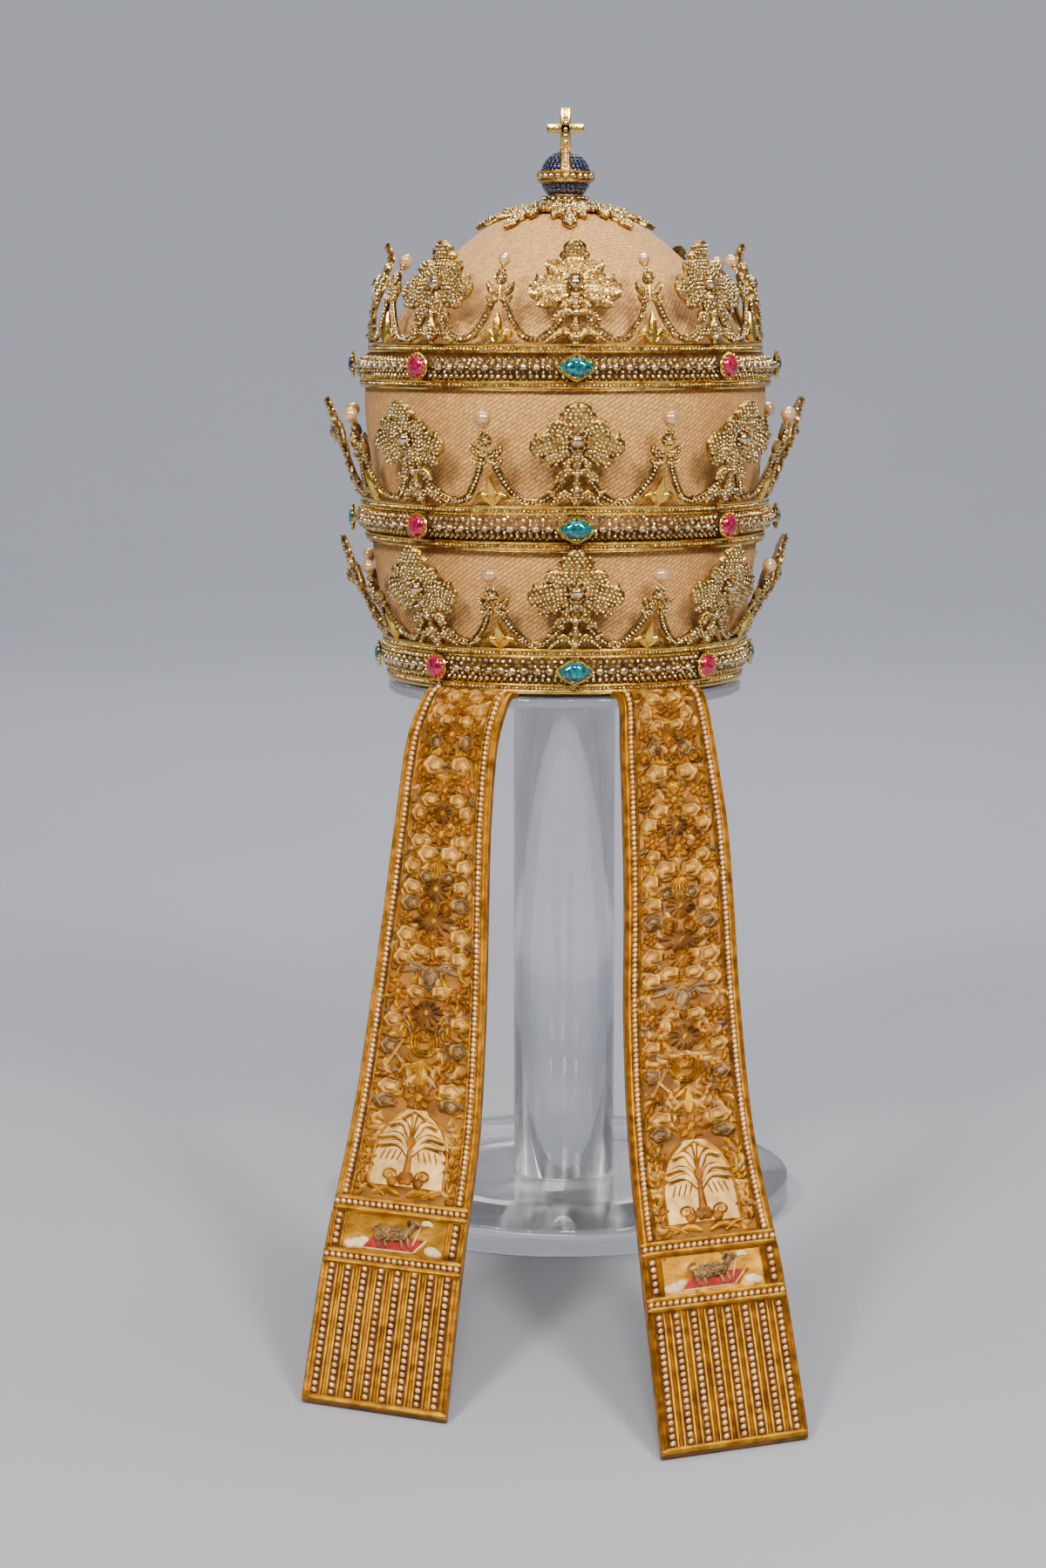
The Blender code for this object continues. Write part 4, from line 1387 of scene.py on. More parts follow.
@dataclass
class Apex:
    """The leaf sprays and collar at the crown of the dome, with the orb and cross. Sizes in mm."""

    dome: Rows = ((0.0, 260.0), (30.0, 252.5), (47.0, 244.0), (69.0, 225.0))
    collar: Rows = (
        (20.0, 255.4), (20.0, 257.8), (13.2, 260.9), (10.7, 263.7), (7.9, 262.3), (6.6, 261.6), (6.6, 258.75),
    )
    orb: float = 13.9
    orb_height: float = 274.0
    girdle: float = 6.1
    arm_height: float = 300.0
    top: float = 311.0
    reach: float = 10.2
    segments: int = 64
    wire_steps: int = 72

    def add_sprays(self, batch: Batch) -> None:
        """Adds eight sprays with a small leaf between each pair.

        Args:
            batch: Where they go.
        """
        line, flat, between = Surface(self.dome, None), Batch(), Batch()
        leaves = [
            Leaf(((0, 34), (0, 42), (0, 50.5)), (2.4, 4.8, 4.4, 1.0), 1.8, 2.3, 0.8, 2, 0.2, 0.6),
            Leaf(((0, 13), (0, 26), (0, 38)), (2.6, 2.1, 1.6), 1.8, 2.3, 0.8, 0, 0.2, 0.6),
        ]
        for flip in (1, -1):
            for spine in (((1.0, 29), (5.5, 32.5), (9.0, 39)), ((1.0, 21), (6.0, 24), (10.2, 29.5))):
                spine = [(flip * x, y) for x, y in spine]
                leaves.append(Leaf(spine, (1.8, 3.6, 3.2, 0.8), 1.8, 2.3, 0.8, 2, 0.2, 0.6))
        for number, leaf in enumerate(leaves):
            leaf.add_set(flat, 2.1, 0.98, number)
        for up in (24.0, 32.0, 41.5):
            flat.stones(Finish.BRILLIANT, FINE_STONE, [(0, up, 4.1)], 1.9)
        leaves = [Leaf(((0, 15), (0, 22), (0, 29.5)), (3.0, 4.2, 3.6, 0.9), 2.0, 2.2, 0.8, 2, 0.3, 0.8)]
        for flip in (1, -1):
            spine = ((flip * 0.5, 17), (flip * 4.6, 22), (flip * 5.4, 28.5))
            leaves.append(Leaf(spine, (1.6, 2.9, 2.6, 0.7), 1.8, 2.0, 0.8, 2, 0.2, 0.6, 9, 4))
        for number, leaf in enumerate(leaves):
            leaf.add_set(between, 2.1, 0.98, 7 + number)
        for i in range(PER_CROWN):
            angle = CROWN_TURN + FULL * i / PER_CROWN
            batch.lay(flat, self.outward(line.at(angle)))
            batch.lay(between, self.outward(line.at(angle + math.pi / PER_CROWN)))

    def outward(self, line: Surface) -> Lay:
        """Returns a lay whose out is away from the dome, which runs outward and down."""
        return lambda points: line.lay(points * (1, 1, -1))

    def add_collar(self, batch: Batch) -> None:
        """Adds the collar under the orb, with its wires and rings of stones.

        Args:
            batch: Where it goes.
        """
        batch.add(Finish.LEAF, upright(lathe(self.collar, self.segments)))
        for radius, height, thick in ((19.6, 257.6, 0.7), (13.2, 261.0, 0.6), (9.9, 263.4, 0.8)):
            batch.add(Finish.POLISHED, upright(wire_ring(radius, height, thick, self.wire_steps)))
        for radius, height, count, size in ((16.4, 259.7, 22, 1.9), (11.8, 262.6, 20, 1.5)):
            centres = about_axis(radius, np.arange(count) * FULL / count, height)
            batch.add(Finish.BRILLIANT, upright(scatter(FINE_STONE, centres, size, 3)), False)

    def add_orb(self, batch: Batch) -> None:
        """Adds the blue globe as rings of small table-cut stones.

        Args:
            batch: Where it goes.
        """
        middle = (0, 0, self.orb_height)
        points, faces = ball(40, 21)
        batch.add(Finish.SAPPHIRE, upright((points * (self.orb - 0.7) + middle, faces)))
        for latitude in np.radians(np.arange(-74, 75, 12.4)):
            cos, sin = math.cos(latitude), math.sin(latitude)
            girth = FULL * self.orb * cos
            count = max(6, int(girth / 2.9))
            wide, high = girth / count / 2 * 0.93, 1.36
            corners = np.array(((-1, -1), (1, -1), (1, 1), (-1, 1)))
            tiers = ((0.0, -0.8), (0.0, -0.25), (0.42, 0.1))
            rings = [raised(corners * (wide - inset, high - inset), out) for inset, out in tiers]
            points, faces = loft(rings)
            for turn in np.arange(count) * FULL / count + latitude * 3:
                side = np.array((math.cos(turn), math.sin(turn), 0))
                out = np.array((math.sin(turn) * cos, -math.cos(turn) * cos, sin))
                placed = points[:, :1] * side + points[:, 1:2] * np.cross(out, side)
                placed = placed + (points[:, 2:] + self.orb) * out + middle
                batch.add(Finish.SAPPHIRE, upright((placed, faces)), False)

    def add_girdle(self, batch: Batch) -> None:
        """Adds the girdle and the strip over the globe, both edged with wire and set with stones.

        Args:
            batch: Where they go.
        """
        inner, outer, half = self.orb + 0.3, self.orb + 1.3, self.girdle / 2
        height, count, steps = self.orb_height, 22, 40
        section = ((outer, half), (outer, -half), (inner, -half), (inner, half))
        section = [(radius, height + up) for radius, up in section]
        batch.add(Finish.LEAF, upright(lathe(section, self.segments)))
        for side in (1, -1):
            wire = wire_ring(outer, height + side * (half - 0.55), 0.62, self.wire_steps)
            batch.add(Finish.POLISHED, upright(wire))
        flat = Batch()
        centres = row(np.arange(count) * FULL * outer / count, 6.0, -0.1)
        flat.stones(Finish.BRILLIANT, FINE_STONE, centres, 2.0, 4)
        batch.lay(flat, Surface(((outer, height - 6), (outer, height + 6)), outer).lay)
        bend = np.linspace(-math.pi / 2, math.pi / 2, steps)
        wire_reach = inner + 1.1
        for offset in (-2.5, 2.5):
            line = row(offset, wire_reach * np.sin(bend), height + wire_reach * np.cos(bend))
            batch.add(Finish.POLISHED, upright(tube(line, 0.55, upward=(1, 0, 0))))
        corners = ((-2.8, inner), (-2.8, inner + 1.2), (2.8, inner + 1.2), (2.8, inner))
        strap = [[(x, r * math.sin(turn), height + r * math.cos(turn)) for x, r in corners] for turn in bend]
        batch.add(Finish.LEAF, upright(loft(strap)))
        for turn in np.linspace(-1.2, 1.2, 13):
            if abs(turn) > 0.15:
                self.stud(batch, (0, math.sin(turn), math.cos(turn)), (0, 0, height), wire_reach, 1.55)

    def stud(
        self, batch: Batch, out: Sequence[float], centre: Sequence[float], reach: float, size: float
    ) -> None:
        """Adds one stone that looks in a direction.

        Args:
            batch: Where it goes.
            out: The direction, of length 1.
            centre: Where it is measured from, in mm.
            reach: How far out its girdle is.
            size: Its radius.
        """
        out = np.asarray(out, float)
        side = np.array((1.0, 0.0, 0.0))
        points, faces = FINE_STONE
        placed = points[:, :1] * size * side + points[:, 1:2] * size * np.cross(out, side)
        placed = placed + (points[:, 2:] * size + reach) * out + np.asarray(centre, float)
        batch.add(Finish.BRILLIANT, upright((placed, faces)), False)

    def add_cross(self, batch: Batch) -> None:
        """Adds the cross, its edges eased, set with stones on both faces.

        Args:
            batch: Where it goes.
        """
        foot = self.orb_height + self.orb + 1.0
        deep, bar, arm, ease = 1.6, 2.75, 2.4, 0.5
        for left, low, right, high in (
            (-bar, foot, bar, self.top),
            (-self.reach, self.arm_height - arm, self.reach, self.arm_height + arm),
        ):
            outline = np.array(((left, low), (right, low), (right, high), (left, high)))
            middle = outline.mean(axis=0)
            rings = []
            for inset, depth in ((ease, -deep), (0.0, -deep + ease), (0.0, deep - ease), (ease, deep)):
                ring = outline - np.sign(outline - middle) * inset
                rings.append(row(ring[:, 0], depth, ring[:, 1]))
            batch.add(Finish.POLISHED, upright(loft(rings)), False)
        for face in (-1, 1):
            for height in np.arange(foot + 3.6, self.top - 1.5, 3.45):
                self.stud(batch, (0, face, 0), (0, 0, height), deep - 0.1, 1.62)
            for across in (-8.0, -4.7, 4.7, 8.0):
                self.stud(batch, (0, face, 0), (across, 0, self.arm_height), deep - 0.1, 1.5)

    def build(self, bench: Bench) -> None:
        """Makes the apex, the orb and the cross.

        Args:
            bench: Where they are made.
        """
        ornament, globe, gold = Batch(), Batch(), Batch()
        self.add_sprays(ornament)
        self.add_collar(ornament)
        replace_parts(ornament.pieces("apex", bench)[Finish.LEAF], "apex_ornament")
        self.add_orb(globe)
        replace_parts(globe.pieces("orb", bench)[Finish.SAPPHIRE], "orb")
        self.add_girdle(gold)
        self.add_cross(gold)
        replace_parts(gold.pieces("orb_girdle", bench)[Finish.LEAF], "orb_girdle_cross")


class Motif(Enum):
    """The kinds of work that the field repeats."""

    LOBE = "padded lobe"
    ROSE = "flower"
    BLOCK = "squarish flower"
    SPRAY = "downward fan"


class Needle:
    """Embroiders motifs on flat ground, in mm."""

    ROUND_STEPS = 20
    SILKS = (
        Finish.THREAD, Finish.CREAM, Finish.OCHRE, Finish.ROLL, Finish.CREAM, Finish.SILVER, Finish.OCHRE,
    )

    def __init__(self, ground: float) -> None:
        """Starts on ground at a height."""
        self.work, self.ground = Batch(), ground
        self.taken: list[tuple[float, float, float]] = []

    def take(self, place: Place, radius: float, up: float = 0.0) -> None:
        """Marks the ground as taken, so far round a place or above it."""
        self.taken.append((place.across, place.up + up, radius))

    def pad(
        self, place: Place, spine: Rows, widths: Sequence[float], finish: Finish, rise: float = 0.9,
        vein: float = 0.0,
    ) -> Leaf:
        """Adds a padded leaf.

        Args:
            place: Where it stands.
            spine: Its spine.
            widths: Its half widths.
            finish: Its silk.
            rise: How far it rises.
            vein: How deep its middle groove is.

        Returns:
            The leaf.
        """
        widths = [width * place.size for width in widths]
        made = Leaf(place.points(spine), widths, rise, self.ground, self.ground - 0.6, 0, vein, 0.0, 7, 4)
        self.work.add(finish, made.mesh())
        return made

    def leaf(
        self, place: Place, spine: Rows, widths: Sequence[float], finish: Finish, rise: float = 0.9,
        vein: float = 0.0,
    ) -> None:
        """Adds a padded leaf with a fine cord round it.

        Args:
            place: Where it stands.
            spine: Its spine.
            widths: Its half widths.
            finish: Its silk.
            rise: How far it rises.
            vein: How deep its middle groove is.
        """
        made = self.pad(place, spine, widths, finish, rise, vein)
        for side in (1, -1):
            line = raised(made.edge(side), self.ground + 0.25)
            self.work.add(Finish.THREAD, tube(smooth_line(line, 10), 0.4, 4))

    def cord(
        self, place: Place, knots: Rows, radius: float = 0.5, finish: Finish = Finish.THREAD, count: int = 16
    ) -> None:
        """Adds a cord laid on the ground.

        Args:
            place: Where it stands.
            knots: The points that it goes through.
            radius: Its radius.
            finish: Its thread.
            count: How many points it has.
        """
        line = raised(smooth_line(place.points(knots), count), self.ground + radius * 0.7)
        self.work.add(finish, tube(line, radius, 4))

    def scroll(self, place: Place, radius: float, turns: float = 1.4, fill: Finish = Finish.CREAM) -> None:
        """Adds a volute with a tail that starts at the place and curls inward.

        Args:
            place: Where it starts.
            radius: Its radius.
            turns: How many turns it has.
            fill: The silk of its heart.
        """
        turn = np.linspace(0, turns * FULL, 26)
        reach = radius * (1 - turn / (turns * FULL)) ** 0.75 + 0.35
        knots = np.vstack([[(-1.0, -radius * 1.1)], (radius, 0) + oval(turn, -reach, reach * 0.95)])
        heart = Place(*place.points([(radius, 0)])[0])
        self.blob(heart, radius * 0.8 * place.size, fill, 0.8)
        self.take(heart, radius * place.size + 0.6)
        self.cord(place, knots, 0.52 * place.size + 0.1, count=30)
        bead = 0.75 * place.size
        centre = np.array([(heart.across, heart.up, self.ground + bead * 0.8)])
        self.work.add(Finish.ROLL, scatter(BEAD_BALL, centre, bead, 2, 0.0))

    def blob(
        self, place: Place, radius: float, finish: Finish, rise: float = 1.0, wave: int = 0,
        squash: float = 1.0, grooved: bool = False,
    ) -> None:
        """Adds a round padded patch.

        Args:
            place: Its middle.
            radius: Its radius.
            finish: Its silk.
            rise: How far it rises.
            wave: How many waves its edge has.
            squash: Its height over its width.
            grooved: Whether a groove runs round its heart.
        """
        turn = around(self.ROUND_STEPS)
        reach = radius * (1 + 0.13 * np.cos(turn * wave)) if wave else np.full(len(turn), radius)
        tiers = ((1.0, -0.5), (1.0, 0.1), (0.8, 0.66), (0.45, 0.93), (0.12, 1.0))
        if grooved:
            tiers = ((1.0, -0.5), (1.0, 0.2), (0.86, 0.9), (0.72, 0.85), (0.6, 0.3), (0.46, 0.8), (0.12, 1.0))
        ring = oval(turn, reach, reach * squash)
        rings = [raised(place.points(ring * share), self.ground + rise * height) for share, height in tiers]
        self.work.add(finish, loft(rings))

    def lobe(self, place: Place, wide: float, high: float, finish: Finish) -> None:
        """Adds a padded oval with a cord that runs round it and curls on to it.

        Args:
            place: Its centre.
            wide: Half its width.
            high: Half its height.
            finish: Its silk.
        """
        self.blob(place, wide, finish, 1.7, 5, high / wide, True)
        turn = np.linspace(-1.2, 5.4, 20)
        reach = np.interp(turn, (-1.2, 3.0, 5.4), (1.08, 1.02, 0.4))
        lift = self.ground + 0.5 + 1.5 * np.clip(1 - reach**2, 0, 1) ** 0.5
        line = raised(place.points(oval(turn, wide * reach, high * reach)), lift)
        self.work.add(Finish.THREAD, tube(line, 0.55, 4))
        self.take(place, max(wide, high) * 0.86 + 0.6)

    def block(self, place: Place, wide: float, high: float, finish: Finish) -> None:
        """Adds a squarish padded flower with twelve rays and a round heart.

        Args:
            place: Its centre.
            wide: Half its width.
            high: Half its height.
            finish: Its silk.
        """
        self.blob(place, wide, finish, 1.3, 4, high / wide)
        for turn in np.arange(12) * FULL / 12:
            reach = math.hypot(wide * math.sin(turn), high * math.cos(turn))
            spine = ((0, reach * 0.4), (0, reach * 0.98))
            self.pad(replace(place, turn=turn), spine, (0.3, 0.9, 0.5), finish, 2.1)
        self.blob(place, 2.2, Finish.ROLL, 2.6)
        self.take(place, max(wide, high) * 0.9 + 0.8)

    def rose(self, place: Place, wide: float, high: float, finish: Finish) -> None:
        """Adds a flower of padded petals round a beaded heart.

        Args:
            place: Its centre.
            wide: Half its width.
            high: Half its height.
            finish: Its silk.
        """
        radius, petals, heart = (wide + high) / 2, 6, Finish.THREAD
        if wide > 5:
            petals, heart = 8, Finish.ROLL
        width = radius * 2.9 / petals
        spine = ((0, radius * 0.25), (0, radius * 0.7), (0, radius * 1.04))
        for i in range(petals):
            petal = replace(place, turn=place.turn + FULL * i / petals)
            self.pad(petal, spine, (0.9, width * 0.9, width, 0.5), finish, 1.5, 0.5)
        self.blob(place, radius * 0.36 * place.size, heart, 1.9)
        ring = place.points(oval(np.arange(8) * FULL / 8, 1.0, 1.0) * radius * 0.42)
        self.work.add(Finish.ROLL, scatter(SEED_BALL, raised(ring, self.ground + 1.2), 0.5 * place.size))
        self.take(place, radius * place.size * 0.95 + 0.8)

    def spray(self, place: Place, wide: float, high: float, finish: Finish) -> None:
        """Adds a fan that opens downward, with fine threads at its sides.

        Args:
            place: Where it starts.
            wide: How far its threads reach.
            high: How far it hangs down.
            finish: Its silk.
        """
        hung = replace(place, turn=math.pi)
        self.fan(hung, high, 7, 0.95, finish)
        for flip in (False, True):
            side = replace(hung, flip=flip)
            for i in range(3):
                rise = 1.2 * i
                thread = ((1.5, rise), (wide * 0.5, rise + 2.4 - i), (wide, rise - 1.6 + i * 1.2))
                self.cord(side, thread, 0.38)
        self.take(place, high * 0.55 + 0.8, -high * 0.5)

    def fan(
        self, place: Place, length: float, count: int, spread: float, finish: Finish, narrow: float = 0.13
    ) -> None:
        """Adds a palmette of narrow leaves that open upward.

        Args:
            place: Its foot.
            length: How long its middle leaf is.
            count: How many leaves it has.
            spread: How far they spread to each side.
            finish: Their silk.
            narrow: Their half width over the length.
        """
        widths = (0.4, length * narrow, length * narrow * 0.8, 0.3)
        for i in range(count):
            share = 2 * i / (count - 1) - 1
            reach = length * (1 - 0.26 * share * share)
            petal = replace(place, turn=place.turn - share * spread)
            self.pad(petal, ((0, 0.6), (0, reach * 0.55), (-share * 0.8, reach)), widths, finish, 1.0, 0.25)
        self.blob(replace(place, turn=0), 1.2, Finish.THREAD, 1.2)

    def dove(self, place: Place) -> None:
        """Adds a bird seen from the front with its wings spread.

        Args:
            place: Its breast.
        """
        silver = Finish.SILVER
        for flip in (False, True):
            side = replace(place, flip=flip)
            for i in range(7):
                x, y = 3.4 + i * 1.95, 6.4 - i * 0.15 - (i - 3) ** 2 * 0.16
                root = (1.0 + i * 0.75, 1.8 + i * 0.34)
                feather = (root, ((root[0] + x) / 2 + 0.5, y - 1.6), (x + 0.2, y - 5.2 + i * 0.42))
                self.pad(side, feather, (0.7, 1.15, 1.0, 0.3), silver, 1.0, 0.2)
            self.pad(side, ((0.8, 2.6), (7.5, 6.2), (15.2, 5.2)), (1.0, 1.4, 1.2, 0.4), silver, 1.5)
        self.fan(place.shifted(0, -0.5, turn=math.pi), 6.5, 5, 0.5, silver, 0.15)
        self.blob(place, 2.6 * place.size, silver, 2.0, squash=1.5)
        self.blob(place.shifted(0.6, 4.2), 1.5, silver, 1.9)
        beak = place.shifted(1.4, 4.2, size=1.0)
        self.pad(beak, ((0, 0), (1.0, -0.2), (1.9, -0.7)), (0.6, 0.4, 0.2), Finish.ROLL)

    def lyre(self, place: Place) -> None:
        """Adds a pair of volutes joined by a round bow, over a hanging three-leaved flower.

        Args:
            place: The middle of the bow.
        """
        for flip in (False, True):
            side = replace(place, flip=flip)
            self.scroll(place.shifted(-6.0 if flip else 6.0, 5.4, flip=not flip), 3.8, 1.5, Finish.OCHRE)
            for reach, depth, radius in ((6.0, 5.6, 0.9), (4.4, 3.9, 0.6), (3.2, 2.5, 0.5)):
                bow = ((reach, 5.0), (reach * 0.98, -0.4), (reach * 0.6, -depth * 0.8), (0, -depth))
                self.cord(side, bow, radius)
            self.leaf(side, ((0.6, -8.0), (3.4, -11), (7.4, -14.0)), (0.8, 1.7, 0.5), Finish.ROLL, 1.4, 0.3)
            self.leaf(side, ((1.4, -15.5), (4.0, -16.8), (7.6, -20.6)), (0.8, 1.9, 0.5), Finish.CREAM, 1.3)
        self.leaf(place, ((0, -6.8), (0, -13), (0, -22.0)), (0.7, 2.0, 3.4, 1.0), Finish.ROLL, 1.6, 0.5)
        for up, radius in ((-1.0, 6.0), (-11.0, 5.6), (-18.0, 6.4)):
            self.take(place, radius * place.size, up * place.size)

    def crossed(self, place: Place) -> None:
        """Adds two crossed scroll-headed rods.

        Args:
            place: Where they cross.
        """
        ring = (5.6, 8.2) + oval(np.linspace(-2, 3.4, 9), 1.9, 1.9)
        for flip in (False, True):
            side = replace(place, flip=flip)
            self.cord(side, ((-4.6, -6.5), (0, 0), (4.6, 6.5)), 0.85, Finish.CREAM)
            self.cord(side, ring, 0.55)
            self.cord(side, ((-5.2, -4.2), (-2.8, -6.4)), 0.7, count=6)

    def arch(self, place: Place, width: float, height: float) -> None:
        """Adds the big pale panel with a round top, and the hanging tree on it.

        Args:
            place: The middle of its foot.
            width: Half its width.
            height: Its height.
        """
        spine = place.points([(0, y) for y in (0, height * 0.5, height)])
        widths = [width * share for share in (1, 1, 1, 0.99, 0.96, 0.9, 0.79, 0.6, 0.26)]
        panel = Leaf(spine, widths, 1.5, self.ground, self.ground - 0.6, steps=20, sides=8)
        self.work.add(Finish.IVORY, panel.mesh())
        for side in (1, -1):
            edge = smooth_line(panel.edge(side) + (0, 0, 0.3), 26)
            self.work.add(Finish.ROLL, tube(edge, 0.9, 4))
        top = Needle(self.ground + 1.3)
        for flip in (False, True):
            side = replace(place, flip=flip)
            for low, out, rise in ((0.40, 0.84, 0.54), (0.45, 0.88, 0.64), (0.6, 0.66, 0.81)):
                bend = (width * out * 0.42, height * (rise + 0.01))
                bough = ((0.9, height * low), bend, (width * out, height * (rise - 0.03)))
                top.leaf(side, bough, (0.5, 1.7, 1.4, 0.3), Finish.IVORY, 1.2)
                top.cord(side, [(x, y - 1.9) for x, y in bough], 0.45, count=10)
            for i in range(4):
                x = width * (0.2 + 0.15 * i)
                hatch = ((x, height * 0.46), (x + 1.0, height * 0.4), (x + 2.2, height * 0.32))
                top.cord(side, hatch, 0.42, count=5)
            for out in (0.08, 0.36):
                tip = (width * out, height * (0.97 - 0.2 * out))
                frond = ((0.4, height * 0.66), (width * out * 0.5, height * 0.82), tip)
                top.cord(side, frond, 0.5, count=8)
            crest = side.shifted(0, height)
            top.pad(crest, ((0, -1.5), (5, -5.2), (10.5, -9.5)), (0.5, 0.9, 0.4), Finish.ROLL, 1.2)
            top.scroll(side.shifted(-5.5 if flip else 5.5, 6), 3.6)
        stem, bud = ((0, height * y) for y in (0.4, 0.6)), ((0, height * y) for y in (0.44, 0.56, 0.72))
        top.pad(place, ((0, 4), *stem), (3.0, 1.7, 1.9), Finish.OCHRE, 1.6)
        top.pad(place, tuple(bud), (1.0, 2.9, 2.2, 0.3), Finish.OCHRE, 1.9, 0.4)
        top.blob(place.shifted(0, 4.4), 5.2, Finish.OCHRE, 2.0, 6, 0.8)
        for across in (7.0, -7.0):
            top.blob(place.shifted(across, 2.4), 3.0, Finish.OCHRE, 1.4)
        self.work.join(top.work)
        for y in np.arange(0, height, 4.0):
            for x in (-0.62, 0.0, 0.62):
                self.take(place.shifted(x * width * (1 - 0.5 * y / height), y), width * 0.46)

    def branch(self, place: Place, height: float, lean: float) -> None:
        """Adds an upright gold branch with leaves on both sides.

        Args:
            place: Its foot.
            height: Its height.
            lean: How far its tip stands to the side.
        """
        pitch = 4.2
        self.cord(place, ((0, 0), (0.8, height * 0.5), (lean, height)), 0.5)
        for i in range(int(height / pitch)):
            up = 1.5 + i * pitch
            for sign in (1, -1):
                root = (sign * 0.4 + lean * up / height, up)
                spine = (root, (sign * 1.8, up + 2.0), (sign * 2.6, up + 4.6))
                self.pad(place, spine, (0.5, 1.1, 0.3), Finish.ROLL, 1.0, 0.2)

    def lamb(self, place: Place) -> None:
        """Adds the panel's picture: a curly lamb on a closed book, with a pennant, clouds and rays.

        Args:
            place: The picture's middle.
        """
        silver = Finish.SILVER
        for i in range(26):
            turn = math.pi * (0.04 + 0.92 * i / 25)
            cos, sin = math.cos(turn), math.sin(turn) * 0.5
            reach = 21.0 + 4.0 * (i % 2)
            ray = ((9.0 * cos * 1.15, 9.0 * sin), (reach * cos, min(reach * sin, 10.0)))
            self.cord(place.shifted(0, -3.0), ray, 0.3, Finish.ROLL, 5)
        spine = place.points([(x, -5.2 + x * 0.02) for x in (-12.5, 0, 14.5)])
        book = Leaf(spine, (4.2, 4.2), 0.5, self.ground + 0.3, self.ground - 0.5, steps=8, sides=4)
        points, faces = book.mesh()
        points[:, 0] += (points[:, 1] - (place.up - 5.2)) * 0.75
        self.work.add(Finish.RED, (points, faces))
        for x, finish in ((14.4, Finish.WHITE), (15.6, Finish.ROLL)):
            self.cord(place, ((x - 3.1, -9.3), (x, -5.2), (x + 3.1, -1.2)), 0.62, finish, 8)
        self.cord(place, ((-15.6, -9.4), (-2, -9.4), (11.2, -9.3)), 0.45, Finish.WHITE, 12)
        clouds = (
            (-18.5, -7.0, 4.2), (-22.5, -8.0, 3.4), (-15.5, -5.0, 2.8), (20.5, -7.0, 3.8), (23.5, -8.2, 2.8),
        )
        for x, y, radius in clouds:
            self.blob(place.shifted(x, y), radius * place.size, Finish.WHITE, 1.3, 0, 0.75)
        over = Needle(self.ground + 0.7)
        for spine, widths, rise in (
            (((-9.5, -1.6), (-2, -0.4), (7.6, 0.6)), (3.4, 4.7, 4.3, 3.2), 2.2),
            (((6.6, 1.0), (8.8, 3.8), (9.8, 6.2)), (2.6, 2.0, 1.8), 2.3),
            (((8.6, 7.0), (11.2, 7.0), (13.6, 5.6)), (1.5, 1.9, 0.9), 2.6),
            (((8.8, 7.6), (7.4, 7.0), (6.6, 5.6)), (0.5, 0.9, 0.4), 3.0),
        ):
            over.pad(place, spine, widths, silver, rise)
        for x, y, z in ((-8.0, -4.2, -8.4), (-4.2, -4.6, -8.0), (4.4, -3.8, -8.2), (7.8, -2.6, -7.4)):
            over.pad(place, ((x, y), (x + 0.5, (y + z) / 2), (x + 1.4, z)), (1.2, 0.9, 0.6), silver, 1.4)
        over.cord(place, ((-9.8, 0.0), (-11.8, 2.6), (-9.6, 4.9), (-7.4, 4.6)), 0.7, silver, 10)
        curls = np.random.default_rng(8).uniform(-1, 1, (130, 2))
        curls = curls[(curls**2).sum(axis=1) < 1] * (8.8, 3.9) + (-1.0, -0.5)
        depth = 1 - ((curls[:, 0] + 1) / 9.6) ** 2 - ((curls[:, 1] + 0.5) / 4.8) ** 2
        fleece = self.ground + 0.5 + 2.5 * np.sqrt(np.clip(depth, 0.05, 1))
        centres = raised(place.points(curls), fleece)
        over.work.add(silver, scatter(SEED_BALL, centres, 0.82 * place.size, 4))
        over.cord(place, ((10.6, -5.5), (13.2, 4.5), (14.4, 9.4)), 0.32, Finish.WHITE, 8)
        over.pad(place, ((14.4, 8.2), (17.0, 8.6), (19.6, 7.2)), (1.5, 1.5, 0.7), Finish.WHITE, 0.5)
        self.work.join(over.work)

    def fill(self, low: float, high: float, room: Callable[[float], float]) -> None:
        """Fills what is still bare with small padded leaves that mirror each other about the middle.

        Args:
            low: Where it starts.
            high: Where it ends.
            room: Gives half the width there is at a height.
        """
        random = np.random.default_rng(17)
        taken = np.array(self.taken)
        for line, up in enumerate(np.arange(low, high, 3.5)):
            for across in np.arange(1.4 + 1.9 * (line % 2), room(up), 3.8):
                x, y = random.normal((across, up), 0.4)
                turn = 1.7 * math.sin(up * 0.19) + across * 0.13 + random.uniform(-0.6, 0.6)
                silk, size = self.SILKS[random.integers(len(self.SILKS))], random.uniform(0.85, 1.2)
                for sign in (1, -1):
                    if (np.hypot(taken[:, 0] - sign * x, taken[:, 1] - y) > taken[:, 2]).all():
                        place = Place(sign * x, y, sign * turn, size, sign < 0)
                        spine = smooth_line(place.points(((0.6, -3.0), (-0.5, 0), (0.9, 3.0))), 9)
                        widths = np.array((0.4, 1.5, 1.7, 0.5)) * size
                        made = Leaf(spine, widths, 1.25, self.ground, self.ground - 0.5, 0, 0.55, 0.0, 6, 4)
                        self.work.add(silk, made.mesh())


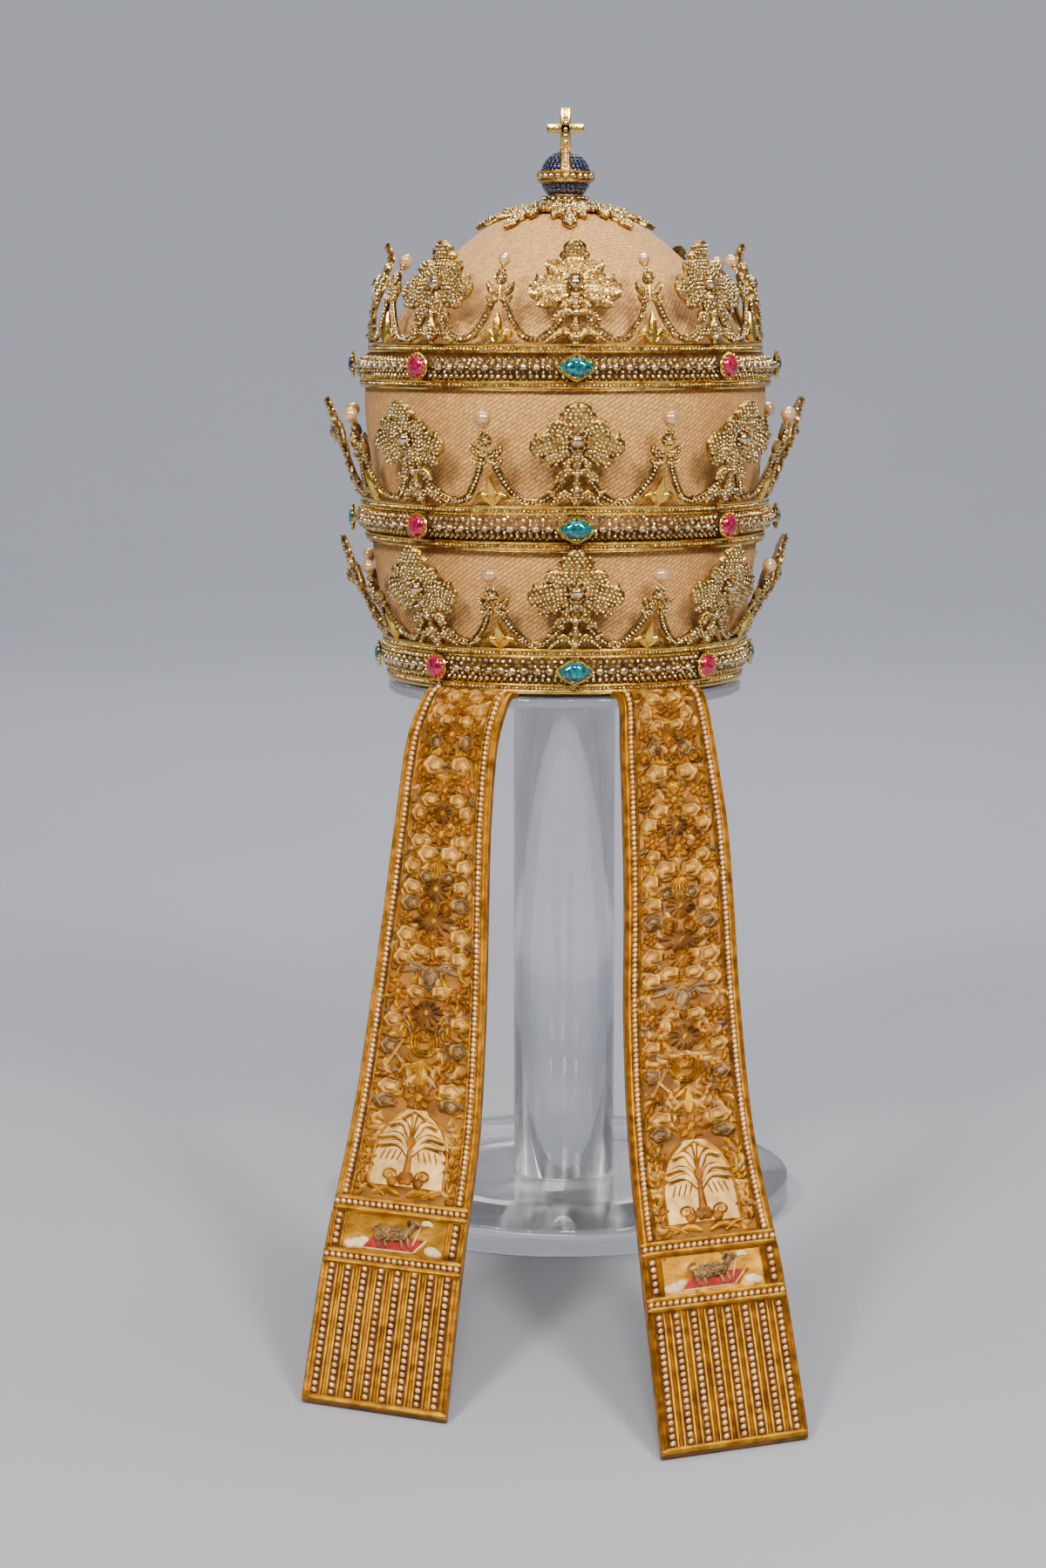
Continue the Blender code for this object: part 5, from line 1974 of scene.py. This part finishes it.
@dataclass
class Lappet:
    """One embroidered band, from inside the rim down to the table. Stations in metres and degrees."""

    DRAWN_START = 123.0
    DRAWN_LENGTH = 337.0
    DRAWN_ROOM = 20.0
    COURSE_STEPS = 500

    name: str
    stations: Rows
    front_sign: int
    thick: float = 2.4
    end_panel: float = 81.0
    bar: float = 9.0
    picture: float = 24.0
    columns: int = 8
    column_pitch: float = 8.75

    def __post_init__(self) -> None:
        """Draws the course through its stations, and its frame at each length."""
        rows = np.array(self.stations)
        knots = np.column_stack([rows[:, 2], -rows[:, 1], rows[:, 0]]) / MM
        lengths = lengths_along(knots)
        self.size = float(lengths[-1])
        self.along = np.linspace(0, self.size, self.COURSE_STEPS)
        number = np.arange(len(knots))
        after, before = np.minimum(number + 1, number[-1]), np.maximum(number - 1, 0)
        slopes = (knots[after] - knots[before]) / (lengths[after] - lengths[before])[:, None]
        i = np.clip(np.searchsorted(lengths, self.along, "right") - 1, 0, len(lengths) - 2)
        span = (lengths[i + 1] - lengths[i])[:, None]
        t = (self.along - lengths[i])[:, None] / span
        self.centre = knots[i] + (knots[i + 1] - knots[i]) * t * t * (3 - 2 * t)
        self.centre += slopes[i] * span * t * (1 - t) ** 2 - slopes[i + 1] * span * t * t * (1 - t)
        yaw = np.radians(np.interp(self.along, lengths, rows[:, 4])) * self.front_sign
        self.across = row(np.cos(yaw), -np.sin(yaw), 0.0)
        out = unit(np.cross(unit(np.gradient(self.centre, axis=0)), self.across))
        self.out = out * np.where(out[:, 2:] > 0, 1, -1)
        self.halves = np.interp(self.along, lengths, rows[:, 3] / MM)
        self.start = self.end_panel + self.bar + self.picture + self.bar
        self.stretch = (self.size - self.start) / self.DRAWN_LENGTH

    def half(self, up: Array | float) -> Array:
        """Returns half the width at a distance up from the end."""
        return np.interp(self.size - np.asarray(up, float), self.along, self.halves)

    def lay(self, flat: Array) -> Array:
        """Bends flat points on to the lappet.

        Args:
            flat: Points across, up from its end, and out from its underside, in mm.

        Returns:
            The points in metres.
        """
        side, up, out = flat.T
        centre, across, away = (
            np.column_stack([np.interp(self.size - up, self.along, part) for part in source.T])
            for source in (self.centre, self.across, self.out)
        )
        placed = centre + across * side[:, None] + away * out[:, None]
        placed[:, 2] = np.maximum(placed[:, 2], 0.1)
        return placed * MM

    def beside(self, inset: float, side: int) -> Array:
        """Draws a line that follows an edge of the long field.

        Args:
            inset: How far inside the edge it runs.
            side: 1 or -1.

        Returns:
            Its points.
        """
        low, high = self.start, self.size - 3.0
        up = np.linspace(low, high, int((high - low) / 6) + 2)
        return np.column_stack([side * (self.half(up) - inset), up])

    def over(self, across: float | Array, up: float | Array, out: float) -> Array:
        """Lines up points at a height above the cloth's face."""
        return row(across, up, self.thick + out)

    def base(self) -> Mesh:
        """Makes the cloth itself, a little uneven on its face.

        Returns:
            The points and faces.
        """
        up = np.linspace(0.0, self.size, int(self.size / 2.2))[:, None]
        half = self.half(up)
        across, back = half * np.linspace(-1, 1, 25), half * np.linspace(1, -1, 5)
        wave = np.sin(across * 0.42 + up * 0.13) * np.sin(up * 0.31 + 0.7 * across * 0.3)
        face = np.stack([across, up + 0 * across, self.thick + 0.28 * wave], -1)
        return loft(np.concatenate([face, np.stack([back, up + 0 * back, 0 * back], -1)], axis=1))

    def strip(
        self, flat: Batch, finish: Finish, line: Rows, half: float, rise: float, base: float = 0.15,
        steps: int = 12, sides: int = 2,
    ) -> None:
        """Adds a low padded strip.

        Args:
            flat: Where it is drawn.
            finish: Its silk.
            line: Its middle.
            half: Half its width.
            rise: How far its middle rises.
            base: The height of its edges above the cloth.
            steps: How many points it has along.
            sides: How many it has across.
        """
        leaf = Leaf(line, (half, half), rise, self.thick + base, self.thick - 0.5, steps=steps, sides=sides)
        flat.add(finish, leaf.mesh())

    def beads(self, flat: Batch, centres: Array, radius: float, seed: int) -> None:
        """Adds upright beads, whose seed sets only their spin."""
        flat.add(Finish.BEAD, scatter(BEAD_BALL, centres, radius, seed, 0.0))

    def add_borders(self, flat: Batch) -> None:
        """Adds the twisted cords, the bead strings and the strips under them, along both edges; the strip
        under the beads is painted dark as shade.

        Args:
            flat: Where they are drawn.
        """
        for side in (1, -1):
            for inset, radius in ((0.8, 0.7), (1.75, 0.5), (4.15, 0.42), (8.1, 0.75)):
                line = raised(self.beside(inset, side), self.thick + 0.55)
                flat.add(Finish.THREAD, rope(line, radius, 3.2, 1.1))
            # The second strip lies under the beads and is painted dark as their shade.
            grounds = ((2.9, 1.15, 0.75, Finish.THREAD), (6.0, 2.1, 0.1, Finish.RECESS))
            for inset, half, rise, finish in grounds:
                self.strip(flat, finish, self.beside(inset, side), half, rise, 0.1, 70, 4)
            up = np.arange(self.start + 2.0, self.size - 3.0, 3.0)
            self.beads(flat, self.over(side * (self.half(up) - 5.35), up, 1.15), 1.46, 2)

    def add_bar(self, flat: Batch, low: float) -> None:
        """Adds a bar across: two rolls with a row of beads between them.

        Args:
            flat: Where it is drawn.
            low: Where it starts.
        """
        half, deep = float(self.half(low)) - 0.6, self.bar
        middle = low + deep / 2
        # A strip painted dark, as the shade behind the rolls and the beads.
        self.strip(flat, Finish.RECESS, ((-half, middle), (half, middle)), deep / 2, 0.2, 0.3)
        for up in (1.55, deep - 1.55):
            roll = self.over(np.linspace(-half, half, 40), low + up, 0.9)
            flat.add(Finish.ROLL, tube(roll, 1.5, 8))
        for up in (0.25, deep - 0.25):
            cord = self.over(np.linspace(-half, half, 30), low + up, 0.4)
            flat.add(Finish.THREAD, rope(cord, 0.6))
        self.beads(flat, self.over(np.linspace(-half + 1.9, half - 1.9, 22), middle, 1.35), 1.42, 3)

    def add_end_panel(self, flat: Batch) -> None:
        """Adds the bead columns and the cords between them, down to the rolled end.

        Args:
            flat: Where they are drawn.
        """
        low, high = 3.0, self.end_panel - 0.4
        places = (np.arange(self.columns) - (self.columns - 1) / 2) * self.column_pitch
        for place in places:
            # Each bead column lies on a strip painted dark, as the shade round its beads.
            self.strip(flat, Finish.RECESS, ((place, low), (place, high)), 2.0, 0.1)
            up = np.arange(low + 1.9, high - 1.0, 3.82)
            self.beads(flat, self.over(place, up, 1.3), 1.42, int(place + 40))
        edge, up = float(self.half(40)) - 0.2, np.linspace(low - 0.8, high, 12)
        for start, end in zip([-99.0, *places], [*places, 99.0]):
            left, right = max(start + 1.95, -edge), min(end - 1.95, edge)
            count = max(1, int((right - left) / 1.6))
            width = (right - left) / count
            for i in range(count):
                line = self.over(left + width * (i + 0.5), up, 0.75)
                if count > 2 and i != 1:
                    flat.add(Finish.ROLL, tube(line, width / 2, 8))
                else:
                    flat.add(Finish.THREAD, rope(line, width / 2 + 0.12, 3.2))
        half = float(self.half(0)) - 0.4
        flat.add(Finish.ROLL, tube(self.over(np.linspace(-half, half, 30), 1.75, 0.1), 1.7, 8))

    def add_picture(self, needle: Needle) -> None:
        """Adds the picture panel between the two bars, with short bead columns at its sides.

        Args:
            needle: What embroiders it.
        """
        low, flat = self.end_panel + self.bar, needle.work
        half, high = float(self.half(low + 12)), low + self.picture
        middle = (low + high) / 2
        ground = ((-half + 9.5, middle), (half - 9.5, middle))
        self.strip(flat, Finish.ROLL, ground, self.picture / 2 - 0.6, 0.25, sides=3)
        for side in (1, -1):
            for inset in (1.2, 2.8, 8.2, 9.6):
                line = self.over(side * (half - inset), np.linspace(low + 0.4, high - 0.4, 8), 0.7)
                flat.add(Finish.THREAD, rope(line, 0.9))
            x = side * (half - 5.5)
            # The short bead columns lie on strips painted dark, as the shade round their beads.
            self.strip(flat, Finish.RECESS, ((x, low), (x, high)), 2.1, 0.1)
            self.beads(flat, self.over(x, np.linspace(low + 3.6, high - 3.6, 5), 1.3), 1.5, 6)
        needle.lamb(Place(-1.0, middle + 0.4))

    def room(self, up: float) -> float:
        """Returns half the field's width at a height of its drawing."""
        return float(self.half(self.start + (up - self.DRAWN_START) * self.stretch)) - 9.4

    def at(self, up: float, across: float = 0.0, **rest: float) -> Place:
        """Returns the place in the field for a height of its drawing."""
        return Place(across, self.start + (up - self.DRAWN_START) * self.stretch, **rest)

    def add_field(self, needle: Needle) -> None:
        """Adds the motifs of the long field, from the rim down.

        Args:
            needle: What embroiders them.
        """
        works = dict(zip(Motif, (needle.lobe, needle.rose, needle.block, needle.spray)))
        for motif, up, across, wide, high, finish in FIELD:
            share = self.room(up) / self.DRAWN_ROOM
            for sign in (1, -1) if across else (1,):
                place = self.at(up, sign * across * share, flip=sign < 0)
                works[motif](place, wide * min(share, 1.15), high, finish)
        needle.dove(self.at(268, size=self.room(264) / 18.0))
        needle.take(self.at(268), 6.0)
        for sign in (1, -1):
            needle.take(self.at(269.5, sign * self.room(264) * 0.55), 5.0)
            wing = ((8, 2), (13, 4.5), (17, -1.5))
            needle.leaf(self.at(246, flip=sign < 0), wing, (1.0, 2.4, 0.6), Finish.OCHRE, 1.4)
        needle.lyre(self.at(224, size=1.15))
        left = -self.room(216) + 8.4
        needle.crossed(self.at(218, left, turn=0.12, size=1.2))
        needle.take(self.at(218, left), 7.0)
        edge = self.room(140)
        needle.arch(self.at(132), edge - 6.0, 50.0 * self.stretch)
        for sign in (1, -1):
            flip = sign < 0
            needle.branch(self.at(133, sign * (edge - 2.4), flip=flip), 44.0 * self.stretch, -1.5)
            for up, spine, widths in (
                (127.5, ((2, -0.5), (9, 2.4), (17, -0.6)), (0.8, 2.0, 1.8, 0.5)),
                (127.0, ((10, -1), (16, 3.4), (21.5, 4.6)), (0.8, 1.6, 0.5)),
            ):
                needle.leaf(self.at(up, flip=flip), spine, widths, Finish.ROLL, 1.2, 0.3)
        needle.fill(self.start + 3.0, self.size - 4.0, lambda up: float(self.half(up)) - 9.6)

    def build(self, bench: Bench) -> None:
        """Makes the lappet: its cloth and its embroidery.

        Args:
            bench: Where it is made.
        """
        name, cloth, laid = f"lappet_{self.name}", Batch(), Batch()
        points, faces = self.base()
        cloth.add(Finish.SATIN, (self.lay(points), faces))
        sheet = cloth.pieces(name, bench)[Finish.SATIN]
        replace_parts(sheet, name)
        needle = Needle(self.thick + 0.1)
        self.add_picture(needle)
        self.add_field(needle)
        self.add_borders(needle.work)
        self.add_bar(needle.work, self.end_panel)
        self.add_bar(needle.work, self.end_panel + self.bar + self.picture)
        self.add_end_panel(needle.work)
        laid.lay(needle.work, self.lay)
        trim = list(laid.pieces(name, bench).values())
        area = float(np.trapz(2 * self.halves, self.along)) * MM * MM


@dataclass
class Stand:
    """The plain clear stand, in mm above the table."""

    bevel: float = 1.2
    ease: float = 0.4
    base: tuple[float, float, float] = (128.0, 0.0, 15.0)
    disc: tuple[float, float, float] = (98.6, 292.0, 297.0)
    column: tuple[float, float, float, float] = (28.5, 24.0, 15.3, 291.7)
    disc_segments: int = 128
    column_segments: int = 96

    def slab(self, radius: float, low: float, high: float) -> Mesh:
        """Makes a disc with polished bevels, closed at the axis.

        Args:
            radius: Its radius.
            low: The height of its underside.
            high: The height of its top.

        Returns:
            The points and faces.
        """
        bevel, eased = self.bevel, self.bevel * 0.3
        upper = (
            (AXIS_HOLE, high), (radius * 0.5, high), (radius - bevel, high), (radius - eased, high - eased),
            (radius, high - bevel),
        )
        lower = [(across, low + high - up) for across, up in reversed(upper)]
        return lathe((*upper, *lower), self.disc_segments)

    def pipe(self) -> Mesh:
        """Makes the hollow column.

        Returns:
            The points and faces.
        """
        outer, inner, low, high = self.column
        ease = self.ease
        profile = (
            (outer, high - ease), (outer, low + ease), (outer - ease, low), (inner + ease, low),
            (inner, low + ease), (inner, high - ease), (inner + ease, high), (outer - ease, high),
        )
        return lathe(profile, self.column_segments)

    def build(self, bench: Bench) -> None:
        """Makes the base, the column and the top disc.

        Args:
            bench: Where they are made.
        """
        for node, (points, faces) in (
            ("stand_base", self.slab(*self.base)),
            ("stand_column", self.pipe()),
            ("stand_top", self.slab(*self.disc)),
        ):
            piece = bench.piece(f"{node}_clear", Finish.ACRYLIC, [(points * MM, faces, True)])
            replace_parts(piece, node)


@dataclass
class Studio:
    """The floor, the lights and the camera. Metres, degrees and watts."""

    SENSOR_MM = 36.0

    focal_px: float = 3700.0
    frame_px: tuple[int, int] = (1200, 1798)
    stands: tuple[float, float, float] = (0.0, -1.80, 0.498)
    pitch: float = 8.24
    yaw: float = 0.743
    horizon: Colour = (0.24, 0.24, 0.25)
    zenith: Colour = (0.46, 0.46, 0.48)
    floor_height: float = -0.0004
    flat_floor: float = 3.5
    cove: float = 2.6
    wall: float = 4.0
    segments: int = 96

    def floor(self) -> None:
        """Makes the pale floor, which sweeps up into a wall all round."""
        mesh = bpy.data.meshes.new("floor")
        bend = np.linspace(0, math.pi / 2, 12)
        curve = [(radius, 0.0) for radius in (0.01, 0.4, 1.2, self.flat_floor * 0.9)]
        curve += [(self.flat_floor + self.cove * math.sin(b), self.cove * (1 - math.cos(b))) for b in bend]
        curve.append((self.flat_floor + self.cove, self.wall))
        turn = around(self.segments)
        points = np.vstack([about_axis(radius, turn, height + self.floor_height) for radius, height in curve])
        index = np.arange(len(points)).reshape(len(curve), self.segments)
        low, high = index[:-1], index[1:]
        faces = np.stack([low, np.roll(low, -1, 1), np.roll(high, -1, 1), high], -1).reshape(-1, 4)
        mesh.from_pydata(points.tolist(), [], [*faces.tolist(), index[0].tolist()])
        mesh.polygons.foreach_set("use_smooth", [True] * len(mesh.polygons))
        mesh.materials.append(Floor().material())
        floor = bpy.data.objects.new("floor", mesh)
        bpy.context.scene.collection.objects.link(floor)
        floor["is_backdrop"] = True

    def light(
        self, name: str, place: Sequence[float], aim: Sequence[float], size: float, power: float,
        colour: Colour,
    ) -> None:
        """Adds one soft lamp.

        Args:
            name: Its name.
            place: Where it hangs.
            aim: The point it looks at.
            size: The side of its face.
            power: Its power.
            colour: Its colour.
        """
        lamp = bpy.data.lights.new(name, "AREA")
        lamp.size, lamp.energy, lamp.color = size, power, colour
        holder = bpy.data.objects.new(name, lamp)
        holder.location = place
        holder.rotation_euler = (Vector(aim) - Vector(place)).to_track_quat("-Z", "Y").to_euler()
        bpy.context.scene.collection.objects.link(holder)

    def surroundings(self) -> None:
        """Sets the grey surroundings, bright at the horizon and overhead and dark between."""
        world = bpy.data.worlds.new("studio")
        world.use_nodes = True
        bpy.context.scene.world = world
        tree = world.node_tree
        back = tree.nodes["Background"]
        kinds = ("TexCoord", "SeparateXYZ", "ValToRGB")
        place, split, ramp = (tree.nodes.new(f"ShaderNode{kind}") for kind in kinds)
        tree.links.new(place.outputs["Generated"], split.inputs[0])
        tree.links.new(split.outputs["Z"], ramp.inputs[0])
        tree.links.new(ramp.outputs[0], back.inputs[0])
        stops = ramp.color_ramp.elements
        stops[0].position, stops[0].color = 0.0, (*self.horizon, 1)
        stops[1].position, stops[1].color = 1.0, (*self.zenith, 1)
        for height, level in ((0.16, 0.24), (0.34, 0.05), (0.75, 0.05)):
            stops.new(height).color = (level, level, level * 1.04, 1)
        back.inputs[1].default_value = 1.0

    def camera(self) -> None:
        """Sets the camera where the photographer stood."""
        data = bpy.data.cameras.new("camera")
        data.lens = self.focal_px / max(self.frame_px) * self.SENSOR_MM
        camera = bpy.data.objects.new("camera", data)
        camera.location = self.stands
        camera.rotation_euler = (math.radians(90 - self.pitch), 0.0, math.radians(self.yaw))
        bpy.context.scene.collection.objects.link(camera)
        bpy.context.scene.camera = camera

    def build(self) -> None:
        """Makes the whole studio."""
        self.floor()
        self.surroundings()
        aim = (0.0, -0.05, 0.38)
        for name, side in (("key_left", -1.0), ("key_right", 1.0)):
            self.light(name, (side, -1.6, 1.75), aim, 0.45, 52, (1.0, 0.91, 0.77))
        self.light("front", (0.1, -2.3, 2.0), (0.0, -0.4, 0.0), 0.4, 40, (1.0, 0.93, 0.82))
        self.light("overhead", (0.0, 0.0, 7.0), (0.0, 0.0, 0.0), 6.0, 205, (1.0, 0.95, 0.89))
        self.light("behind", (0.4, 1.6, 2.4), aim, 1.0, 20, (1.0, 0.98, 0.95))
        self.light("backdrop", (0.0, 1.9, 3.6), (0.0, 5.0, 0.4), 2.0, 160, (1.0, 0.99, 0.98))
        self.camera()


LOBE, ROSE, BLOCK, SPRAY = Motif
CREAM, OCHRE, BROWN, SILVER = Finish.CREAM, Finish.OCHRE, Finish.BROWN, Finish.SILVER
FIELD = (
    (LOBE, 448, 7.5, 5.4, 3.6, CREAM), (ROSE, 441, 0, 5.0, 5.0, OCHRE), (LOBE, 438, 14, 4.6, 5.0, CREAM),
    (LOBE, 431, 6.4, 4.6, 3.6, CREAM), (ROSE, 426, 14.5, 4.6, 4.6, OCHRE), (BLOCK, 422, 0, 6.0, 5.0, OCHRE),
    (LOBE, 417, 10, 4.4, 4.6, SILVER), (ROSE, 412, 0, 3.6, 3.6, BROWN), (LOBE, 411, 16, 3.8, 4.2, OCHRE),
    (LOBE, 402, 9.0, 6.8, 5.6, CREAM), (SPRAY, 397, 0, 10.0, 6.5, Finish.ROLL),
    (ROSE, 392, 14.6, 4.8, 4.8, OCHRE), (ROSE, 386, 0, 6.5, 6.5, OCHRE), (LOBE, 379.5, 9.0, 5.4, 4.3, CREAM),
    (BLOCK, 371, 0, 6.0, 6.0, BROWN), (LOBE, 371, 15, 4.6, 5.0, CREAM), (LOBE, 368, 8.6, 3.4, 3.6, OCHRE),
    (ROSE, 362, 14, 4.8, 4.8, OCHRE), (ROSE, 358, 0, 7.0, 7.0, OCHRE), (LOBE, 353, 13.5, 4.2, 4.2, CREAM),
    (LOBE, 345.5, 7.0, 6.0, 5.3, CREAM), (SPRAY, 341, 0, 15.0, 9.0, Finish.ROLL),
    (LOBE, 337.5, 15.4, 4.6, 5.2, CREAM), (LOBE, 331, 6.5, 3.8, 3.6, SILVER),
    (BLOCK, 323, 0, 7.5, 6.6, BROWN), (LOBE, 324.5, 14.4, 5.0, 4.8, CREAM), (LOBE, 312, 5.6, 3.6, 4.6, OCHRE),
    (LOBE, 314, 14.0, 5.6, 4.6, SILVER), (BLOCK, 303, 0, 11.5, 5.6, BROWN),
    (ROSE, 304.5, 15.6, 3.8, 3.8, OCHRE), (BLOCK, 292, 0, 6.6, 5.0, OCHRE),
    (LOBE, 293.5, 14.4, 5.4, 5.6, CREAM), (LOBE, 283.5, 6.4, 5.2, 4.2, CREAM),
    (LOBE, 279.5, 15.0, 4.6, 5.0, CREAM), (ROSE, 257.5, 15.2, 5.4, 5.4, OCHRE),
    (LOBE, 258, 6.0, 4.6, 4.0, CREAM), (BLOCK, 244.5, 0, 8.0, 7.6, BROWN), (LOBE, 239, 16, 4.4, 4.4, CREAM),
    (ROSE, 190.5, 0, 8.0, 6.8, OCHRE), (LOBE, 196.0, 13.5, 5.6, 4.6, CREAM),
    (LOBE, 186.5, 14.0, 5.2, 4.2, SILVER), (LOBE, 222, 16.0, 4.4, 4.8, SILVER),
)
CROWNS = (
    Crown(
        "lower", 0.0, 99.4, 103.0, 101.8, 96.7, 98.9,
        ((100.4, 24.0), (105.0, 33.5), (116.0, 56.0), (122.5, 77.0)), 0.88, 64.0, 7.6, 7.6, 0.62,
    ),
    Crown(
        "middle", 76.0, 111.0, 117.0, 113.4, 107.4, 107.4,
        ((111.8, 100.0), (116.6, 110.0), (126.0, 140.0), (131.0, 153.5)), 0.88, 146.0, 8.4, 8.2, 0.66,
    ),
    Crown(
        "upper", 160.0, 113.6, 116.5, 109.0, 109.9, 105.4,
        ((107.4, 184.0), (104.5, 205.0), (94.5, 230.0), (97.0, 237.0)), 1.04, 228.0, 7.2, 8.6, 0.57,
        Stone.SAPPHIRE,
    ),
)
LAPPETS = (
    Lappet(
        "left",
        (
            (0.2973, 0.0811, -0.0468, 0.0260, 30), (0.2973, 0.0868, -0.0501, 0.0262, 30),
            (0.2925, 0.0925, -0.0532, 0.0264, 29), (0.2740, 0.1060, -0.0590, 0.0270, 27),
            (0.2350, 0.1330, -0.0630, 0.0275, 24), (0.2000, 0.1565, -0.0653, 0.0292, 23),
            (0.1500, 0.1965, -0.0685, 0.0323, 23), (0.1000, 0.2465, -0.0730, 0.0350, 23),
            (0.0500, 0.3065, -0.0813, 0.0369, 23), (0.0003, 0.3760, -0.0868, 0.0370, 23),
        ),
        1, end_panel=79.4, picture=22.6,
    ),
    Lappet(
        "right",
        (
            (0.2973, 0.0811, 0.0468, 0.0260, 30), (0.2973, 0.0868, 0.0501, 0.0262, 30),
            (0.2925, 0.0930, 0.0520, 0.0266, 29), (0.2740, 0.1095, 0.0538, 0.0280, 27),
            (0.2350, 0.1390, 0.0572, 0.0300, 24), (0.2000, 0.1665, 0.0585, 0.0307, 23),
            (0.1500, 0.2135, 0.0590, 0.0322, 23), (0.1000, 0.2718, 0.0620, 0.0334, 23),
            (0.0500, 0.3420, 0.0699, 0.0362, 23), (0.0003, 0.4230, 0.0762, 0.0362, 23),
        ),
        -1,
    ),
)


def main() -> None:
    """Builds everything in order and writes the sizes."""
    logging.basicConfig(level=logging.INFO, format="%(name)s: %(message)s")
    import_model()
    frame_box = [list(corner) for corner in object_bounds()]
    bench = Bench()
    Studio().build()
    for group in (Stand(), Cap(), *CROWNS, Apex(), *LAPPETS):
        group.build(bench)
    looks_box = [list(corner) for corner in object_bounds()]
    LOG.info("%d triangles in all; frame %s, looks %s", bench.triangles, frame_box, looks_box)


if __name__ == "__main__":
    main()
